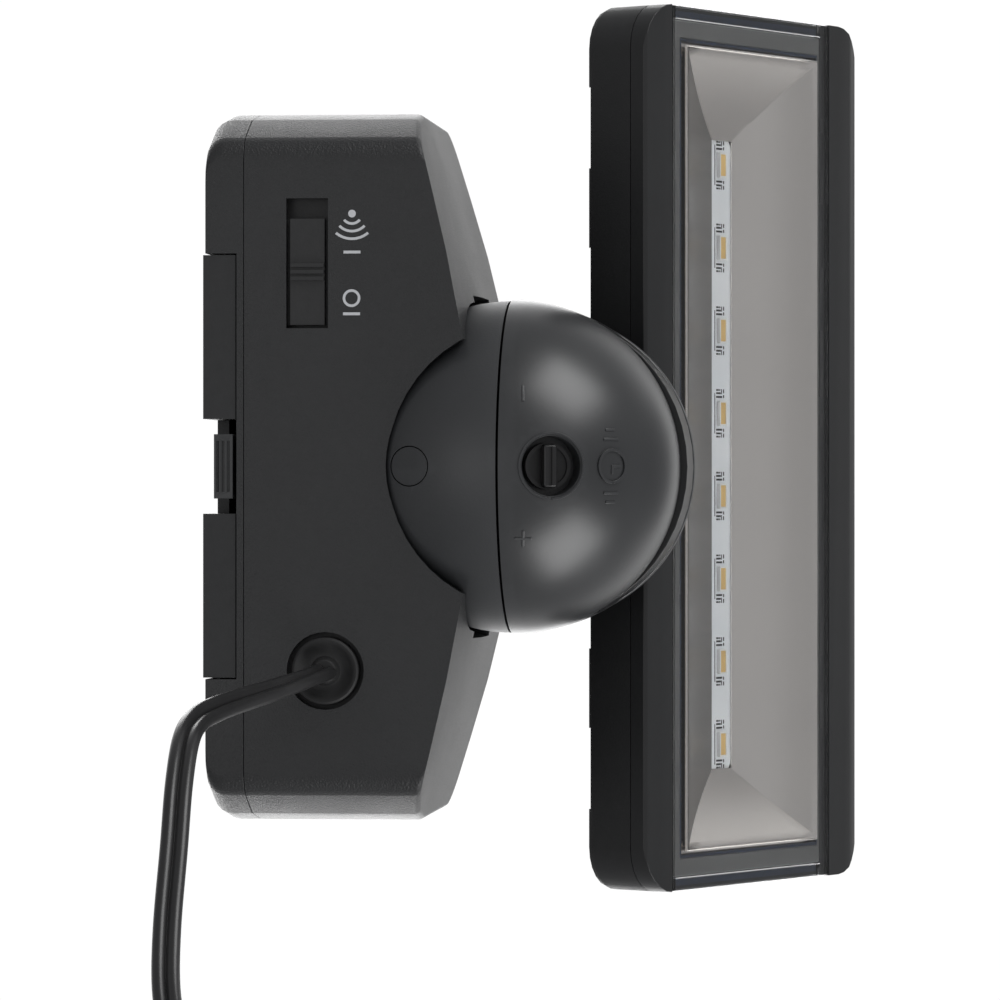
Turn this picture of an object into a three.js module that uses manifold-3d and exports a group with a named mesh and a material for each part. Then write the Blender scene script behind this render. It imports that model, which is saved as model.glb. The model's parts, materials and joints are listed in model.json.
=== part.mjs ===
// Solar flood light for a wall: slide-on wall bracket, battery housing with a slide switch,
// panning motion-sensor turret, swivelling and tilting LED head, low-voltage lead with a plug.
// Millimetres, +Z up, wall at y = 0, front of the light towards -Y.
// The origin is the centre of the wall bracket's back face.
import * as THREE from "three";
import { mergeVertices } from "three/addons/utils/BufferGeometryUtils.js";
import Module from "manifold-3d";

const wasm = await Module();
wasm.setup();

// ---- driving dimensions -------------------------------------------------------------------
const WALL = 2;                 // moulded wall thickness

const HOUSING = {
  bottom: -31.5, top: 49.5, back: -0.5, parting: -8.6, belt: -5, brow: 10,
  halfWidth: 75.8, underHalf: 70.3, rounding: 6, cornerRadius: 4, frontRadius: 1.5,
};
// The front wall in plan, from the middle to one end, at the underside and from the brow upwards.
const FRONT = {
  under: [[12, -57.8], [26.5, -55.2], [45.4, -51.6], [60, -48.2]],
  upper: [[12, -59.4], [32, -56.2], [47.2, -52.5], [60, -48.7]],
  underSlope: 0.245, upperSlope: 0.31,
};
const TURRET = { y: -63.1, z: -4.5, radius: 35.9, rearRadius: 35.6, top: 24.5, socket: 36.4 };
const BROW = { radius: 13, top: 33, collarRadius: 8, collarTop: 36.5, scallop: 12.4 };
const BRACKET = { halfWidth: 44.6, bottom: -31.2, top: 31, plate: 2.5, depth: 6.9, notch: 10 };
const SWITCH = { x: [-56.5, -29.1], y: [-26.6, -17.7] };
const GROMMET = { x: 43.1, y: -26, radius: 7.1, hole: 8.2 };
const KNOB = { tilt: 18.6, radius: 4.9, well: 6.3 };
const LENS = { angle: 62, bottom: -1, top: 20, forward: 3.45, radius: 33.95 };
const PIN = { y: -66, z: 62, radius: 2.1 };
const HEAD = {
  x: -4.4, y: -94.8, z: 37, tilt: 28, halfLength: 98.4, bottom: -9.6, top: 83.4,
  window: 68.8, railBack: 5, depth: 16.8, cornerRadius: 10,
};
const LED = { count: 8, pitch: 18.8, length: 5.7, width: 3, thickness: 0.9, z: 35.1, boardFront: 10 };
const REFLECTOR = { halfLength: 89, bottom: 8.7, top: 64.7, rim: 2.5 };
const CELL = { radius: 7.25, length: 50.5, pitch: 15.2, lowest: 0 };
const CABLE = { width: 5.6, thickness: 2.8 };
const COIL = { x: 166, y: -15.5, z: -196, meanRadius: 35.8, halfAcross: 7.5, halfDeep: 11.7 };
const PLUG = { x: 124.3, y: -6.9, reliefTop: -226.3 };

// ---- colours and finishes -----------------------------------------------------------------
const FINISH = {
  housing: [0x26282a, 0.55, 0], cover: [0x242628, 0.58, 0], bracket: [0x202224, 0.6, 0],
  latch: [0x2b2d2f, 0.5, 0], rubber: [0x17181a, 0.85, 0], slider: [0x232527, 0.5, 0],
  turret: [0x1e2022, 0.35, 0], lens: [0x0b0b0d, 0.2, 0], knob: [0x0e0f10, 0.45, 0],
  head: [0x222426, 0.55, 0], bezel: [0x1f2123, 0.5, 0], window: [0xdfe6ea, 0.05, 0],
  reflector: [0x96918a, 0.3, 0.8], board: [0xe9edf0, 0.5, 0], led: [0xf3dfa2, 0.4, 0],
  green: [0x2c6b45, 0.5, 0], steel: [0xb9bcc0, 0.35, 1], cell: [0x3c8a54, 0.4, 0],
  inner: [0x3a3c3f, 0.7, 0], cable: [0x121314, 0.5, 0], brass: [0xc8a75a, 0.3, 1],
};

// ---- shape helpers ------------------------------------------------------------------------
function solid(geometry) {
  const bare = geometry.clone();
  bare.deleteAttribute("normal");
  bare.deleteAttribute("uv");
  const merged = mergeVertices(bare, 1e-4);
  return new wasm.Manifold(new wasm.Mesh({
    numProp: 3,
    vertProperties: new Float32Array(merged.attributes.position.array),
    triVerts: new Uint32Array(merged.index.array),
  }));
}

function geometryOf(manifold) {
  const mesh = manifold.getMesh();
  const geometry = new THREE.BufferGeometry();
  geometry.setAttribute("position", new THREE.BufferAttribute(mesh.vertProperties, 3));
  geometry.setIndex(new THREE.BufferAttribute(mesh.triVerts, 1));
  geometry.computeVertexNormals();
  return geometry;
}

const basis = (x, y, z) => new THREE.Matrix4().makeBasis(
  new THREE.Vector3(...x), new THREE.Vector3(...y), new THREE.Vector3(...z),
);
const AXES = {
  x: basis([0, 1, 0], [0, 0, 1], [1, 0, 0]),
  y: basis([0, 0, 1], [1, 0, 0], [0, 1, 0]),
  z: new THREE.Matrix4(),
};

// A flat outline pushed along an axis: outline is (y, z) for x, (z, x) for y, (x, y) for z.
function prism(axis, outline, from, to) {
  const shape = new THREE.Shape(outline.map(([u, v]) => new THREE.Vector2(u, v)));
  const geometry = new THREE.ExtrudeGeometry(shape, { depth: to - from, bevelEnabled: false });
  geometry.translate(0, 0, from);
  geometry.applyMatrix4(AXES[axis]);
  return solid(geometry);
}

function block(x, y, z) {
  const geometry = new THREE.BoxGeometry(x[1] - x[0], y[1] - y[0], z[1] - z[0]);
  geometry.translate((x[0] + x[1]) / 2, (y[0] + y[1]) / 2, (z[0] + z[1]) / 2);
  return solid(geometry);
}

// A round bar along an axis; u and v are the two other coordinates of its centre line.
function rod(axis, radius, from, to, u = 0, v = 0, segments = 24, endRadius = radius) {
  const geometry = new THREE.CylinderGeometry(endRadius, radius, to - from, segments);
  geometry.rotateX(Math.PI / 2);
  geometry.translate(u, v, (from + to) / 2);
  geometry.applyMatrix4(AXES[axis]);
  return solid(geometry);
}

// A turned shape about the vertical axis through (x, y); the profile is (radius, z) upwards.
function turned(profile, x, y, segments = 48) {
  const points = profile.map(([r, z]) => new THREE.Vector2(r, z));
  const geometry = new THREE.LatheGeometry(points, segments);
  geometry.rotateX(Math.PI / 2);
  geometry.translate(x, y, 0);
  return solid(geometry);
}

// A closed solid through rings of equal point count along an axis, lowest ring first.
function loft(rings, axis = "z") {
  const count = rings[0].length;
  const positions = rings.flat().flatMap((point) => point);
  const index = [];
  for (let level = 0; level < rings.length - 1; level += 1) {
    for (let i = 0; i < count; i += 1) {
      const a = level * count + i;
      const b = level * count + ((i + 1) % count);
      index.push(a, b, b + count, a, b + count, a + count);
    }
  }
  const flat = rings[0].map(([x, y]) => new THREE.Vector2(x, y));
  const last = (rings.length - 1) * count;
  for (const [a, b, c] of THREE.ShapeUtils.triangulateShape(flat, [])) {
    index.push(a, c, b, last + a, last + b, last + c);
  }
  const geometry = new THREE.BufferGeometry();
  geometry.setAttribute("position", new THREE.Float32BufferAttribute(positions, 3));
  geometry.setIndex(index);
  geometry.applyMatrix4(AXES[axis]);
  return solid(geometry);
}

function arc(cx, cy, radius, from, to, steps) {
  return Array.from({ length: steps + 1 }, (_, i) => {
    const angle = THREE.MathUtils.degToRad(from + ((to - from) * i) / steps);
    return [cx + radius * Math.cos(angle), cy + radius * Math.sin(angle)];
  });
}

function roundedRectangle(x, y, radius, steps = 4) {
  return [
    ...arc(x[1] - radius, y[1] - radius, radius, 0, 90, steps),
    ...arc(x[0] + radius, y[1] - radius, radius, 90, 180, steps),
    ...arc(x[0] + radius, y[0] + radius, radius, 180, 270, steps),
    ...arc(x[1] - radius, y[0] + radius, radius, 270, 360, steps),
  ];
}

const join = (...pieces) => pieces.reduce((a, b) => a.add(b));
const cut = (body, ...tools) => tools.reduce((a, b) => a.subtract(b), body);

// ---- assembly -----------------------------------------------------------------------------
const group = new THREE.Group();
group.name = "solar_flood_light";

function place(name, manifold, finish, move = null) {
  const [color, roughness, metalness] = FINISH[finish];
  const geometry = geometryOf(manifold);
  if (move) geometry.applyMatrix4(move);
  const material = new THREE.MeshStandardMaterial({ color, roughness, metalness });
  material.name = finish;
  const mesh = new THREE.Mesh(geometry, material);
  mesh.name = name;
  group.add(mesh);
}

// ---- housing: plan outline at each level ---------------------------------------------------
function planOutline(half, wall, share) {
  const line = FRONT.under.map(([x, y], i) => [
    x + (FRONT.upper[i][0] - x) * share, y + (FRONT.upper[i][1] - y) * share + wall * 1.02,
  ]);
  const slope = FRONT.underSlope + (FRONT.upperSlope - FRONT.underSlope) * share;
  const [lastX, lastY] = line[line.length - 1];
  const fillet = Math.max(HOUSING.frontRadius - wall, 0.4);
  const radius = Math.max(HOUSING.cornerRadius - wall, 1);
  const filletY = lastY + (half - fillet - lastX) * slope + fillet * Math.hypot(1, slope);
  const leaning = THREE.MathUtils.radToDeg(Math.atan(slope)) - 90;
  const right = [
    ...line,
    ...arc(half - fillet, filletY, fillet, leaning, 0, 3),
    ...arc(half - radius, HOUSING.back - wall - radius, radius, 0, 90, 5),
  ];
  return [...right, ...right.map(([x, y]) => [-x, y]).reverse()];
}

// The ends roll out of the underside, flare up to the belt line and roll into the top.
function housingSolid(wall) {
  const rounding = HOUSING.rounding - wall;
  const roll = [90, 75, 60, 45, 30, 15].map((angle) => THREE.MathUtils.degToRad(angle));
  const low = roll.map((a) => [
    HOUSING.bottom + wall + rounding * (1 - Math.sin(a)),
    HOUSING.underHalf - wall - rounding * (1 - Math.cos(a)),
  ]);
  const high = roll.map((a) => [
    HOUSING.top - wall - rounding * (1 - Math.sin(a)),
    HOUSING.halfWidth - wall - rounding * (1 - Math.cos(a)),
  ]).reverse();
  const middle = [
    [(HOUSING.bottom + HOUSING.belt) / 2, (HOUSING.underHalf + HOUSING.halfWidth) / 2 + 0.8 - wall],
    [HOUSING.belt, HOUSING.halfWidth - wall], [HOUSING.brow, HOUSING.halfWidth - wall],
  ];
  return loft([...low, ...middle, ...high].map(([z, half]) => {
    const share = Math.min((z - HOUSING.bottom) / (HOUSING.brow - HOUSING.bottom), 1);
    return planOutline(half, wall, share).map(([x, y]) => [x, y, z]);
  }));
}

const upright = (radius, from, to, segments = 48) => rod("z", radius, from, to, 0, TURRET.y, segments);

function domed(radius, top, edge = 0) {
  const bowl = arc(0, TURRET.z, radius, -90, 0, 9);
  bowl[0][0] = 0;
  return turned([...bowl, [radius, top - edge], [radius - edge, top], [0, top]], 0, TURRET.y);
}

const SCREW_PLACES = [[-64, -22], [64, -22], [-64, 40], [64, 40]];
const frontBand = block([-80, 80], [-90, HOUSING.parting - 0.15], [-60, 80]);
const rearBand = block([-80, 80], [HOUSING.parting, 5], [-60, 80]);
const outerHousing = housingSolid(0);
const innerHousing = housingSolid(WALL);

// The socket is wider in front, where the lens swings past the front wall.
const besideLens = block([-80, 80], [-110, -48.5], [-60, 80]);
const socketWall = join(
  domed(TURRET.socket + 1.6, TURRET.top + 3),
  domed(TURRET.socket + 2.8, TURRET.top + 3).intersect(besideLens),
  rod("z", BROW.scallop + 2, 31, 60, 0, TURRET.y, 32),
).intersect(outerHousing);
const bosses = SCREW_PLACES.map(([x, z]) => rod("y", 3.2, -48, -9, z, x, 16));
const bossHoles = SCREW_PLACES.map(([x, z]) => rod("y", 1.35, -24, -8, z, x, 12));
let frontHousing = join(cut(outerHousing, innerHousing), socketWall, ...bosses);
frontHousing = frontHousing.intersect(outerHousing).intersect(frontBand);
frontHousing = cut(frontHousing, rod("z", BROW.scallop, BROW.top, 60, 0, TURRET.y, 32));
frontHousing = join(
  frontHousing,
  rod("z", BROW.radius, TURRET.top + 0.8, BROW.top, 0, TURRET.y, 32),
  rod("z", BROW.collarRadius, BROW.top - 1, BROW.collarTop, 0, TURRET.y, 32),
);
frontHousing = cut(
  frontHousing,
  domed(TURRET.socket, TURRET.top + 0.8),
  rod("z", 37.9, -3, TURRET.top + 0.8, 0, TURRET.y, 48).intersect(besideLens),
  rod("z", 30.4, -40, -18, 0, -69.5, 48),
  rod("z", 5.4, 20, 60, 0, TURRET.y, 24),
  block(SWITCH.x, SWITCH.y, [-40, -28]),
  rod("z", GROMMET.hole, -40, -28, GROMMET.x, GROMMET.y, 32),
  ...bossHoles,
);
place("front_housing", frontHousing, "housing");

// Rear cover: tray with the bracket's slide-in pocket, open at the underside.
const coverPosts = SCREW_PLACES.map(([x, z]) => rod("y", 4.2, -8.6, -2, z, x, 16));
const coverHollow = join(
  innerHousing.intersect(block([46.6, 80], [-20, -2.6], [-60, 80])),
  innerHousing.intersect(block([-80, -46.6], [-20, -2.6], [-60, 80])),
  innerHousing.intersect(block([-46.6, 46.6], [-20, -2.6], [33.4, 80])),
);
const pocket = block([-44.9, 44.9], [-7.1, 5], [-60, BRACKET.top + 0.4]);
const coverHoles = SCREW_PLACES.flatMap(([x, z]) => [
  rod("y", 1.6, -10, 0, z, x, 12),
  rod("y", 3.1, -4.2, 0, z, x, 16),
]);
place("rear_cover", cut(
  join(cut(outerHousing.intersect(rearBand), coverHollow), ...coverPosts),
  pocket, ...coverHoles,
), "cover");

SCREW_PLACES.forEach(([x, z], i) => {
  place(`cover_screw_${i + 1}`, join(
    rod("y", 2.7, -4.0, -2.2, z, x, 16),
    rod("y", 1.2, -20, -3.8, z, x, 12),
  ), "steel");
});

place("housing_seal", cut(housingSolid(2.3), housingSolid(3.5)).intersect(
  block([-80, 80], [-10.6, -8.9], [-60, 80]),
), "rubber");

// ---- wall bracket with its release latch --------------------------------------------------
const screwHoles = [[-28, 16], [28, 16], [-28, -18], [28, -18]].flatMap(([x, z]) => [
  rod("y", 2.6, -5, 2, z, x, 16),
  rod("y", 4.6, -5, 2, z - 7, x, 16),
  block([x - 2.6, x + 2.6], [-5, 2], [z - 7, z]),
]);
const bracketBlank = block(
  [-BRACKET.halfWidth, BRACKET.halfWidth], [-BRACKET.depth, 0], [BRACKET.bottom, BRACKET.top],
);
const bracketHollow = block(
  [-BRACKET.halfWidth + 3.6, BRACKET.halfWidth - 3.6], [-BRACKET.depth - 1, -BRACKET.plate],
  [BRACKET.bottom + 2.7, BRACKET.top - 3],
);
const latchNotch = block(
  [-BRACKET.notch, BRACKET.notch], [-BRACKET.depth - 1, 1], [BRACKET.bottom - 1, -10],
);
place("wall_bracket", cut(bracketBlank, bracketHollow, latchNotch, ...screwHoles), "bracket");

place("release_latch", join(
  prism("x", [[-2.3, -31.3], [-2.3, -26], [-4.6, -24], [-6.3, -26], [-6.3, -31.3]], -6.8, 6.8),
  block([-6.8, 6.8], [-4.4, -2.9], [-26, -12]),
), "latch");

// ---- inside the housing -------------------------------------------------------------------
const cellHeights = [0, 1, 2].map((i) => CELL.lowest + i * CELL.pitch);
const cellY = -10.6 - CELL.radius;
cellHeights.forEach((z, i) => {
  place(`battery_cell_${i + 1}`, join(
    rod("x", CELL.radius, -25, 24, cellY, z, 20),
    rod("x", 2.6, 23.5, 25.4, cellY, z, 16),
  ), "cell");
});
const holderTop = cellHeights[2] + CELL.radius + 0.6;
const holderBottom = cellHeights[0] - CELL.radius - 0.6;
place("battery_holder", join(
  block([-27.2, 27.2], [-10.3, -9.1], [holderBottom, holderTop]),
  block([-27.2, -25.4], [-23, -9.6], [holderBottom, holderTop]),
  block([25.7, 27.2], [-23, -9.6], [holderBottom, holderTop]),
), "inner");

place("control_board", cut(
  block([39, 71], [-14.6, -13], [-14, 34]),
  rod("y", 1.6, -20, -10, 29, 44, 12),
  rod("y", 1.6, -20, -10, -9, 44, 12),
), "green");

place("switch_body", join(
  block([-51, -33], [-25, -19.2], [-27.8, -20]),
  block([-60, -27], [-23.6, -20.6], [-20.3, -18.9]),
  block([-58, -28], [-28.2, -16], [-27.9, -27]),
), "inner");

const ribs = [-42.4, -41, -39.6].map((x) => block(
  [x - 0.4, x + 0.4], [-25.7, -18.6], [-31.7, -30.7],
));
place("switch_slider", join(
  block([-52.2, -29.8], [-25.8, -18.5], [-30.9, -28.2]),
  block([-52.2, -29.8], [-27.8, -16.5], [-29.2, -28.2]),
  ...ribs,
), "slider");

place("cable_grommet", join(
  rod("z", GROMMET.radius, -31.8, -28.4, GROMMET.x, GROMMET.y, 32),
  rod("z", 9.8, -29.2, -27.6, GROMMET.x, GROMMET.y, 32),
  rod("z", 2.9, -33.4, -31, GROMMET.x, GROMMET.y, 20, 4.6),
), "rubber");
place("cable_clamp", cut(
  block([36.5, 50], [-30.5, -21.5], [-27.2, -22]),
  block([40.3, 45.9], [-27.4, -24.6], [-28, -21]),
), "inner");

// ---- motion-sensor turret -----------------------------------------------------------------
const frontHalf = block([-50, 50], [-120, TURRET.y - 0.08], [-60, 60]);
const rearHalf = block([-50, 50], [TURRET.y + 0.08, 0], [-60, 60]);
const innerTurret = domed(TURRET.radius - WALL, TURRET.top - WALL);

// Turns a piece built along -Z through the dome's centre to point at an angle from straight down.
function aimed(angle) {
  const toCentre = new THREE.Matrix4().makeTranslation(0, TURRET.y, TURRET.z);
  const turn = new THREE.Matrix4().makeRotationX(THREE.MathUtils.degToRad(angle));
  return toCentre.multiply(turn);
}
function along(radius, from, to, angle, segments = 24, endRadius = radius) {
  const geometry = new THREE.CylinderGeometry(radius, endRadius, to - from, segments);
  geometry.rotateX(Math.PI / 2);
  geometry.translate(0, 0, -(from + to) / 2);
  geometry.applyMatrix4(aimed(angle));
  return solid(geometry);
}

function sector(halfAngle, bottom, top) {
  const reach = 60;
  const a = THREE.MathUtils.degToRad(halfAngle);
  const side = [reach * Math.sin(a), TURRET.y - reach * Math.cos(a)];
  return prism("z", [[0, TURRET.y], [-side[0], side[1]], [0, TURRET.y - reach * 1.2], side], bottom, top);
}

const bulge = (radius, from, to) => rod(
  "z", radius, from, to, 0, TURRET.y - LENS.forward, 48,
);
const lensRim = cut(
  bulge(LENS.radius + 0.15, LENS.top + 0.2, TURRET.top), upright(34.5, 15, 30),
).intersect(sector(LENS.angle, LENS.top, TURRET.top));
let turretFront = join(
  cut(domed(TURRET.radius, TURRET.top, 1.6), innerTurret),
  along(KNOB.well + 1.4, 27.5, 35.2, -KNOB.tilt),
  lensRim,
).intersect(frontHalf);
turretFront = cut(
  turretFront,
  along(KNOB.well, 29.2, 38, -KNOB.tilt, 32),
  along(KNOB.well, 34.7, 36.2, -KNOB.tilt, 32, KNOB.well + 1.2),
  along(2.0, 26, 30, -KNOB.tilt, 16),
  sector(LENS.angle, LENS.bottom, LENS.top).intersect(frontHalf),
  rod("z", 9.3, 20, 26, 0, TURRET.y, 32),
);
place("turret_front_shell", turretFront, "turret");

const axle = cut(
  join(upright(9, 22.5, TURRET.top, 32), upright(5, 24, 38.1, 24)),
  cut(upright(6, 36.7, 37.6, 24), upright(4.1, 36, 38, 24)),
);
const plugAt = (radius, top) => rod("z", radius, -60, top, 0, TURRET.y + 19, 24);
let turretRear = cut(domed(TURRET.rearRadius, TURRET.top, 1.6), innerTurret).intersect(rearHalf);
turretRear = cut(turretRear, upright(8.9, 20, 30, 32), plugAt(4.3, -27));
place("turret_rear_shell", join(turretRear, axle), "turret");
place("turret_plug", cut(plugAt(4.1, -28).intersect(domed(35.5, 20)), domed(33.6, 20)), "turret");

const ring = (outer, inner, from, to, segments = 48) => cut(
  upright(outer, from, to, segments), upright(inner, from - 1, to + 1, segments),
);
place("sensor_lens", join(
  cut(bulge(LENS.radius, LENS.bottom + 0.3, LENS.top - 0.3), upright(33.2, -10, 30)).intersect(
    sector(LENS.angle - 0.5, LENS.bottom + 0.3, LENS.top - 0.3),
  ),
  ring(33.5, 32.3, LENS.bottom - 2, LENS.top + 1.8).intersect(
    sector(LENS.angle + 3, LENS.bottom - 2, LENS.top + 1.8),
  ),
), "lens");
place("sensor_board", block([-17, 17], [-69.6, -68], [-10, 21]), "green");
place("motion_sensor", join(
  rod("y", 4.1, -76, -71, 8, 0, 20),
  rod("y", 4.6, -71.2, -69.9, 8, 0, 20),
), "steel");
place("time_trimmer", join(
  along(4.4, 22.5, 27.2, -KNOB.tilt, 16),
  along(3.2, 19, 23, -KNOB.tilt, 12),
), "inner");
const knobBar = new THREE.BoxGeometry(9.2, 3, 2.2);
knobBar.translate(0, 0, -33.9);
knobBar.applyMatrix4(aimed(-KNOB.tilt));
place("time_knob", join(
  along(KNOB.radius, 30.5, 33, -KNOB.tilt, 28),
  along(1.6, 27.5, 30.8, -KNOB.tilt, 12),
  solid(knobBar),
), "knob");
place("turret_felt_ring", ring(12.5, 6, TURRET.top + 0.1, TURRET.top + 0.7, 32), "rubber");
place("turret_snap_ring", ring(6.8, 4.3, 36.8, 37.5, 24), "steel");

// ---- swivel arm and tilt hinge ------------------------------------------------------------
const tongue = [
  [-73, 40], [-54.5, 40], ...arc(PIN.y, PIN.z, 7.6, 0, 180, 10),
];
const foot = cut(
  upright(11.6, 33.9, 41, 32),
  upright(BROW.collarRadius + 0.35, 33, 38.5, 32),
);
place("swivel_arm", cut(
  join(foot, prism("x", tongue, -6.6, 6.6)),
  rod("x", PIN.radius + 0.25, -20, 20, PIN.y, PIN.z, 20),
), "housing");
place("swivel_friction_ring", ring(11.2, 8.6, 33.1, 33.8, 32), "rubber");
place("tilt_screw", join(
  rod("x", PIN.radius, -15, 12, PIN.y, PIN.z, 20),
  rod("x", 4.4, 11.5, 14, PIN.y, PIN.z, 20),
), "steel");
place("tilt_washer", cut(
  rod("x", 4.6, -12.3, -11.5, PIN.y, PIN.z, 20),
  rod("x", PIN.radius + 0.15, -13, -11, PIN.y, PIN.z, 20),
), "steel");
place("tilt_nut", cut(
  rod("x", 4, -14.8, -12.5, PIN.y, PIN.z, 6),
  rod("x", PIN.radius + 0.1, -16, -12, PIN.y, PIN.z, 20),
), "steel");

// ---- lamp head, built upright with its front face on y = 0, then tilted into place ---------
const headMove = new THREE.Matrix4().makeTranslation(HEAD.x, HEAD.y, HEAD.z).multiply(
  new THREE.Matrix4().makeRotationX(THREE.MathUtils.degToRad(HEAD.tilt)),
);
const placeHead = (name, manifold, finish) => place(name, manifold, finish, headMove);
const toHead = (y, z) => {
  const point = new THREE.Vector3(0, y, z).applyMatrix4(headMove.clone().invert());
  return [point.y, point.z];
};
const headOutline = (inset = 0, radius = HEAD.cornerRadius) => roundedRectangle(
  [HEAD.bottom + inset, HEAD.top - inset],
  [-HEAD.halfLength + inset, HEAD.halfLength - inset], Math.max(radius - inset, 1), 6,
);
const headSlab = (inset, from, to, radius) => prism("y", headOutline(inset, radius), from, to);
const HEAD_SCREWS = [[-90, -2], [90, -2], [-90, 76], [90, 76]];

// Rear shell: rounded back edge, castellated back, two hinge lugs.
const shellRings = [[HEAD.railBack + 0.1, 0], [14.8, 0.1], [16.2, 0.6], [HEAD.depth, 1.6]].map(
  ([y, inset]) => headOutline(inset).map(([z, x]) => [z, x, y]),
);

const [pinY, pinZ] = toHead(PIN.y, PIN.z);
const lugOutline = [
  [14, -2], [pinY - 1, pinZ - 7.6], ...arc(pinY, pinZ, 7.6, -80, 90, 8), [14, 26],
];
const lug = (from, to) => prism("x", lugOutline, from - HEAD.x, to - HEAD.x);
const castellations = [[-80, -62], [-44.4, 44.4], [62, 80]].map(
  ([from, to]) => block([from, to], [15.7, 20], [-20, 100]),
);
let headShell = cut(loft(shellRings, "y"), ...castellations, headSlab(2, 0, 13.8, 10));
const headTubes = HEAD_SCREWS.map(([x, z]) => rod("y", 3.1, 5.6, 15.2, z, x, 16));
headShell = join(headShell, lug(7, 11), lug(-11, -7), ...headTubes);
headShell = cut(
  headShell,
  rod("x", PIN.radius + 0.25, -40, 40, pinY, pinZ, 20),
  ...HEAD_SCREWS.flatMap(([x, z]) => [
    rod("y", 1.5, 4, 20, z, x, 12), rod("y", 2.9, 15, 20, z, x, 16),
  ]),
);
placeHead("head_rear_shell", headShell, "head");
HEAD_SCREWS.forEach(([x, z], i) => {
  placeHead(`head_screw_${i + 1}`, join(
    rod("y", 2.5, 15.1, 16.4, z, x, 16),
    rod("y", 1.1, 2.6, 15.2, z, x, 12),
  ), "steel");
});

// Bezel: a frame behind the window with a broad rail along each long side.
const lowerRail = [[0, 0], [0.15, -4], [0.9, HEAD.bottom + 0.6], [1.6, HEAD.bottom], [5, HEAD.bottom],
  [5, 3], [2.5, 3], [2.5, 0]];
const upperRail = [[0, HEAD.window], [2.5, HEAD.window], [2.5, 66.8], [5, 66.8], [5, HEAD.top],
  [2.2, HEAD.top], [1.2, HEAD.top - 0.7], [0.2, HEAD.top - 5]];
const rails = [lowerRail, upperRail].map((outline) => prism("x", outline, -99, 99));
const bezelFrame = cut(headSlab(0, 4, 5, 10), block([-93, 93], [0, 9], [3, 66]));
placeHead("head_bezel", cut(
  join(...rails, bezelFrame).intersect(headSlab(0, -1, 6, 10)),
  ...HEAD_SCREWS.map(([x, z]) => rod("y", 1.25, 2.3, 8, z, x, 12)),
), "bezel");

// Clear window: plate between the rails, returning down both short ends.
const windowEnds = [[-98.2, -95.6], [95.6, 98.2]].map((x) => block(x, [1, 3.8], [3.3, 66.5]));
placeHead("window", join(
  block([-98.2, 98.2], [0.1, 2.1], [0.3, HEAD.window - 0.3]), ...windowEnds,
), "window");
placeHead("window_gasket", cut(
  block([-95.2, 95.2], [2.3, 3.8], [3.3, 66.5]),
  block([-91.2, 91.2], [2, 5], [5.4, 65.7]),
), "rubber");

// Reflector: a trough that curves down to the strip of lamps, with a flange behind the gasket.
const LAMP_SHIFT = 1.2;
function troughRings(grow, lift, from) {
  return [0, 0.25, 0.5, 0.75, 1].map((s) => {
    const t = s * (1.35 - 0.35 * s);
    const low = THREE.MathUtils.lerp(REFLECTOR.bottom, LED.z - 4.4, s) - grow;
    const high = THREE.MathUtils.lerp(REFLECTOR.top, LED.z + 4.4, s) + grow;
    const left = THREE.MathUtils.lerp(-REFLECTOR.halfLength, LAMP_SHIFT - 71.4, s) - grow;
    const right = THREE.MathUtils.lerp(REFLECTOR.halfLength, LAMP_SHIFT + 71.4, s) + grow;
    const y = THREE.MathUtils.lerp(from, LED.boardFront - 0.1 + lift, t);
    return [[high, left, y], [high, right, y], [low, right, y], [low, left, y]];
  });
}
placeHead("reflector", cut(
  join(
    loft(troughRings(0.8, 0, REFLECTOR.rim), "y"),
    block([-92.7, 92.7], [3.9, 4.7], [3.4, 65.8]),
  ),
  loft(troughRings(0, 0.1, REFLECTOR.rim - 0.1), "y"),
), "reflector");

placeHead("led_board", prism("y", roundedRectangle(
  [LED.z - 4.7, LED.z + 4.7], [LAMP_SHIFT - 72, LAMP_SHIFT + 72], 2.5,
), LED.boardFront, LED.boardFront + 1.4), "board");
for (let i = 0; i < LED.count; i += 1) {
  const x = LAMP_SHIFT + (i - (LED.count - 1) / 2) * LED.pitch;
  placeHead(`led_${i + 1}`, block(
    [x - LED.length / 2, x + LED.length / 2],
    [LED.boardFront - 0.1 - LED.thickness, LED.boardFront - 0.1],
    [LED.z - LED.width / 2, LED.z + LED.width / 2],
  ), "led");
}

// ---- lead: leaves the grommet, falls beside the bracket, ends in a tied coil and a plug ----
const LEAD_ROUTE = [
  [43.2, -26, -33.8], [43.6, -25.4, -40], [44.8, -22.5, -48], [46.6, -17.5, -57],
  [48.2, -12.8, -68], [49.6, -9.6, -80], [51.2, -7.9, -92], [54.6, -7.4, -103.5],
  [63, -7.4, -113], [75, -7.7, -121.5], [90, -7.9, -131.5], [101.5, -9.2, -140.6],
  [110.5, -12.4, -149.5], [117.2, -16.4, -160], [121.6, -20.6, -173],
];
const TAIL_ROUTE = [-216.5, -221, -226].map((z) => [PLUG.x, PLUG.y, z]);

function cableAlong(route, steps) {
  const outline = arc(0, 0, 0.5, 22.5, 337.5, 7).map(([u, v]) => new THREE.Vector2(
    u * CABLE.thickness, v * CABLE.width,
  ));
  const path = new THREE.CatmullRomCurve3(route.map((point) => new THREE.Vector3(...point)));
  return solid(new THREE.ExtrudeGeometry(new THREE.Shape(outline), { steps, extrudePath: path }));
}
place("cable_lead", cableAlong(LEAD_ROUTE, 22), "cable");
place("cable_tail", cableAlong(TAIL_ROUTE, 3), "cable");

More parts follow.
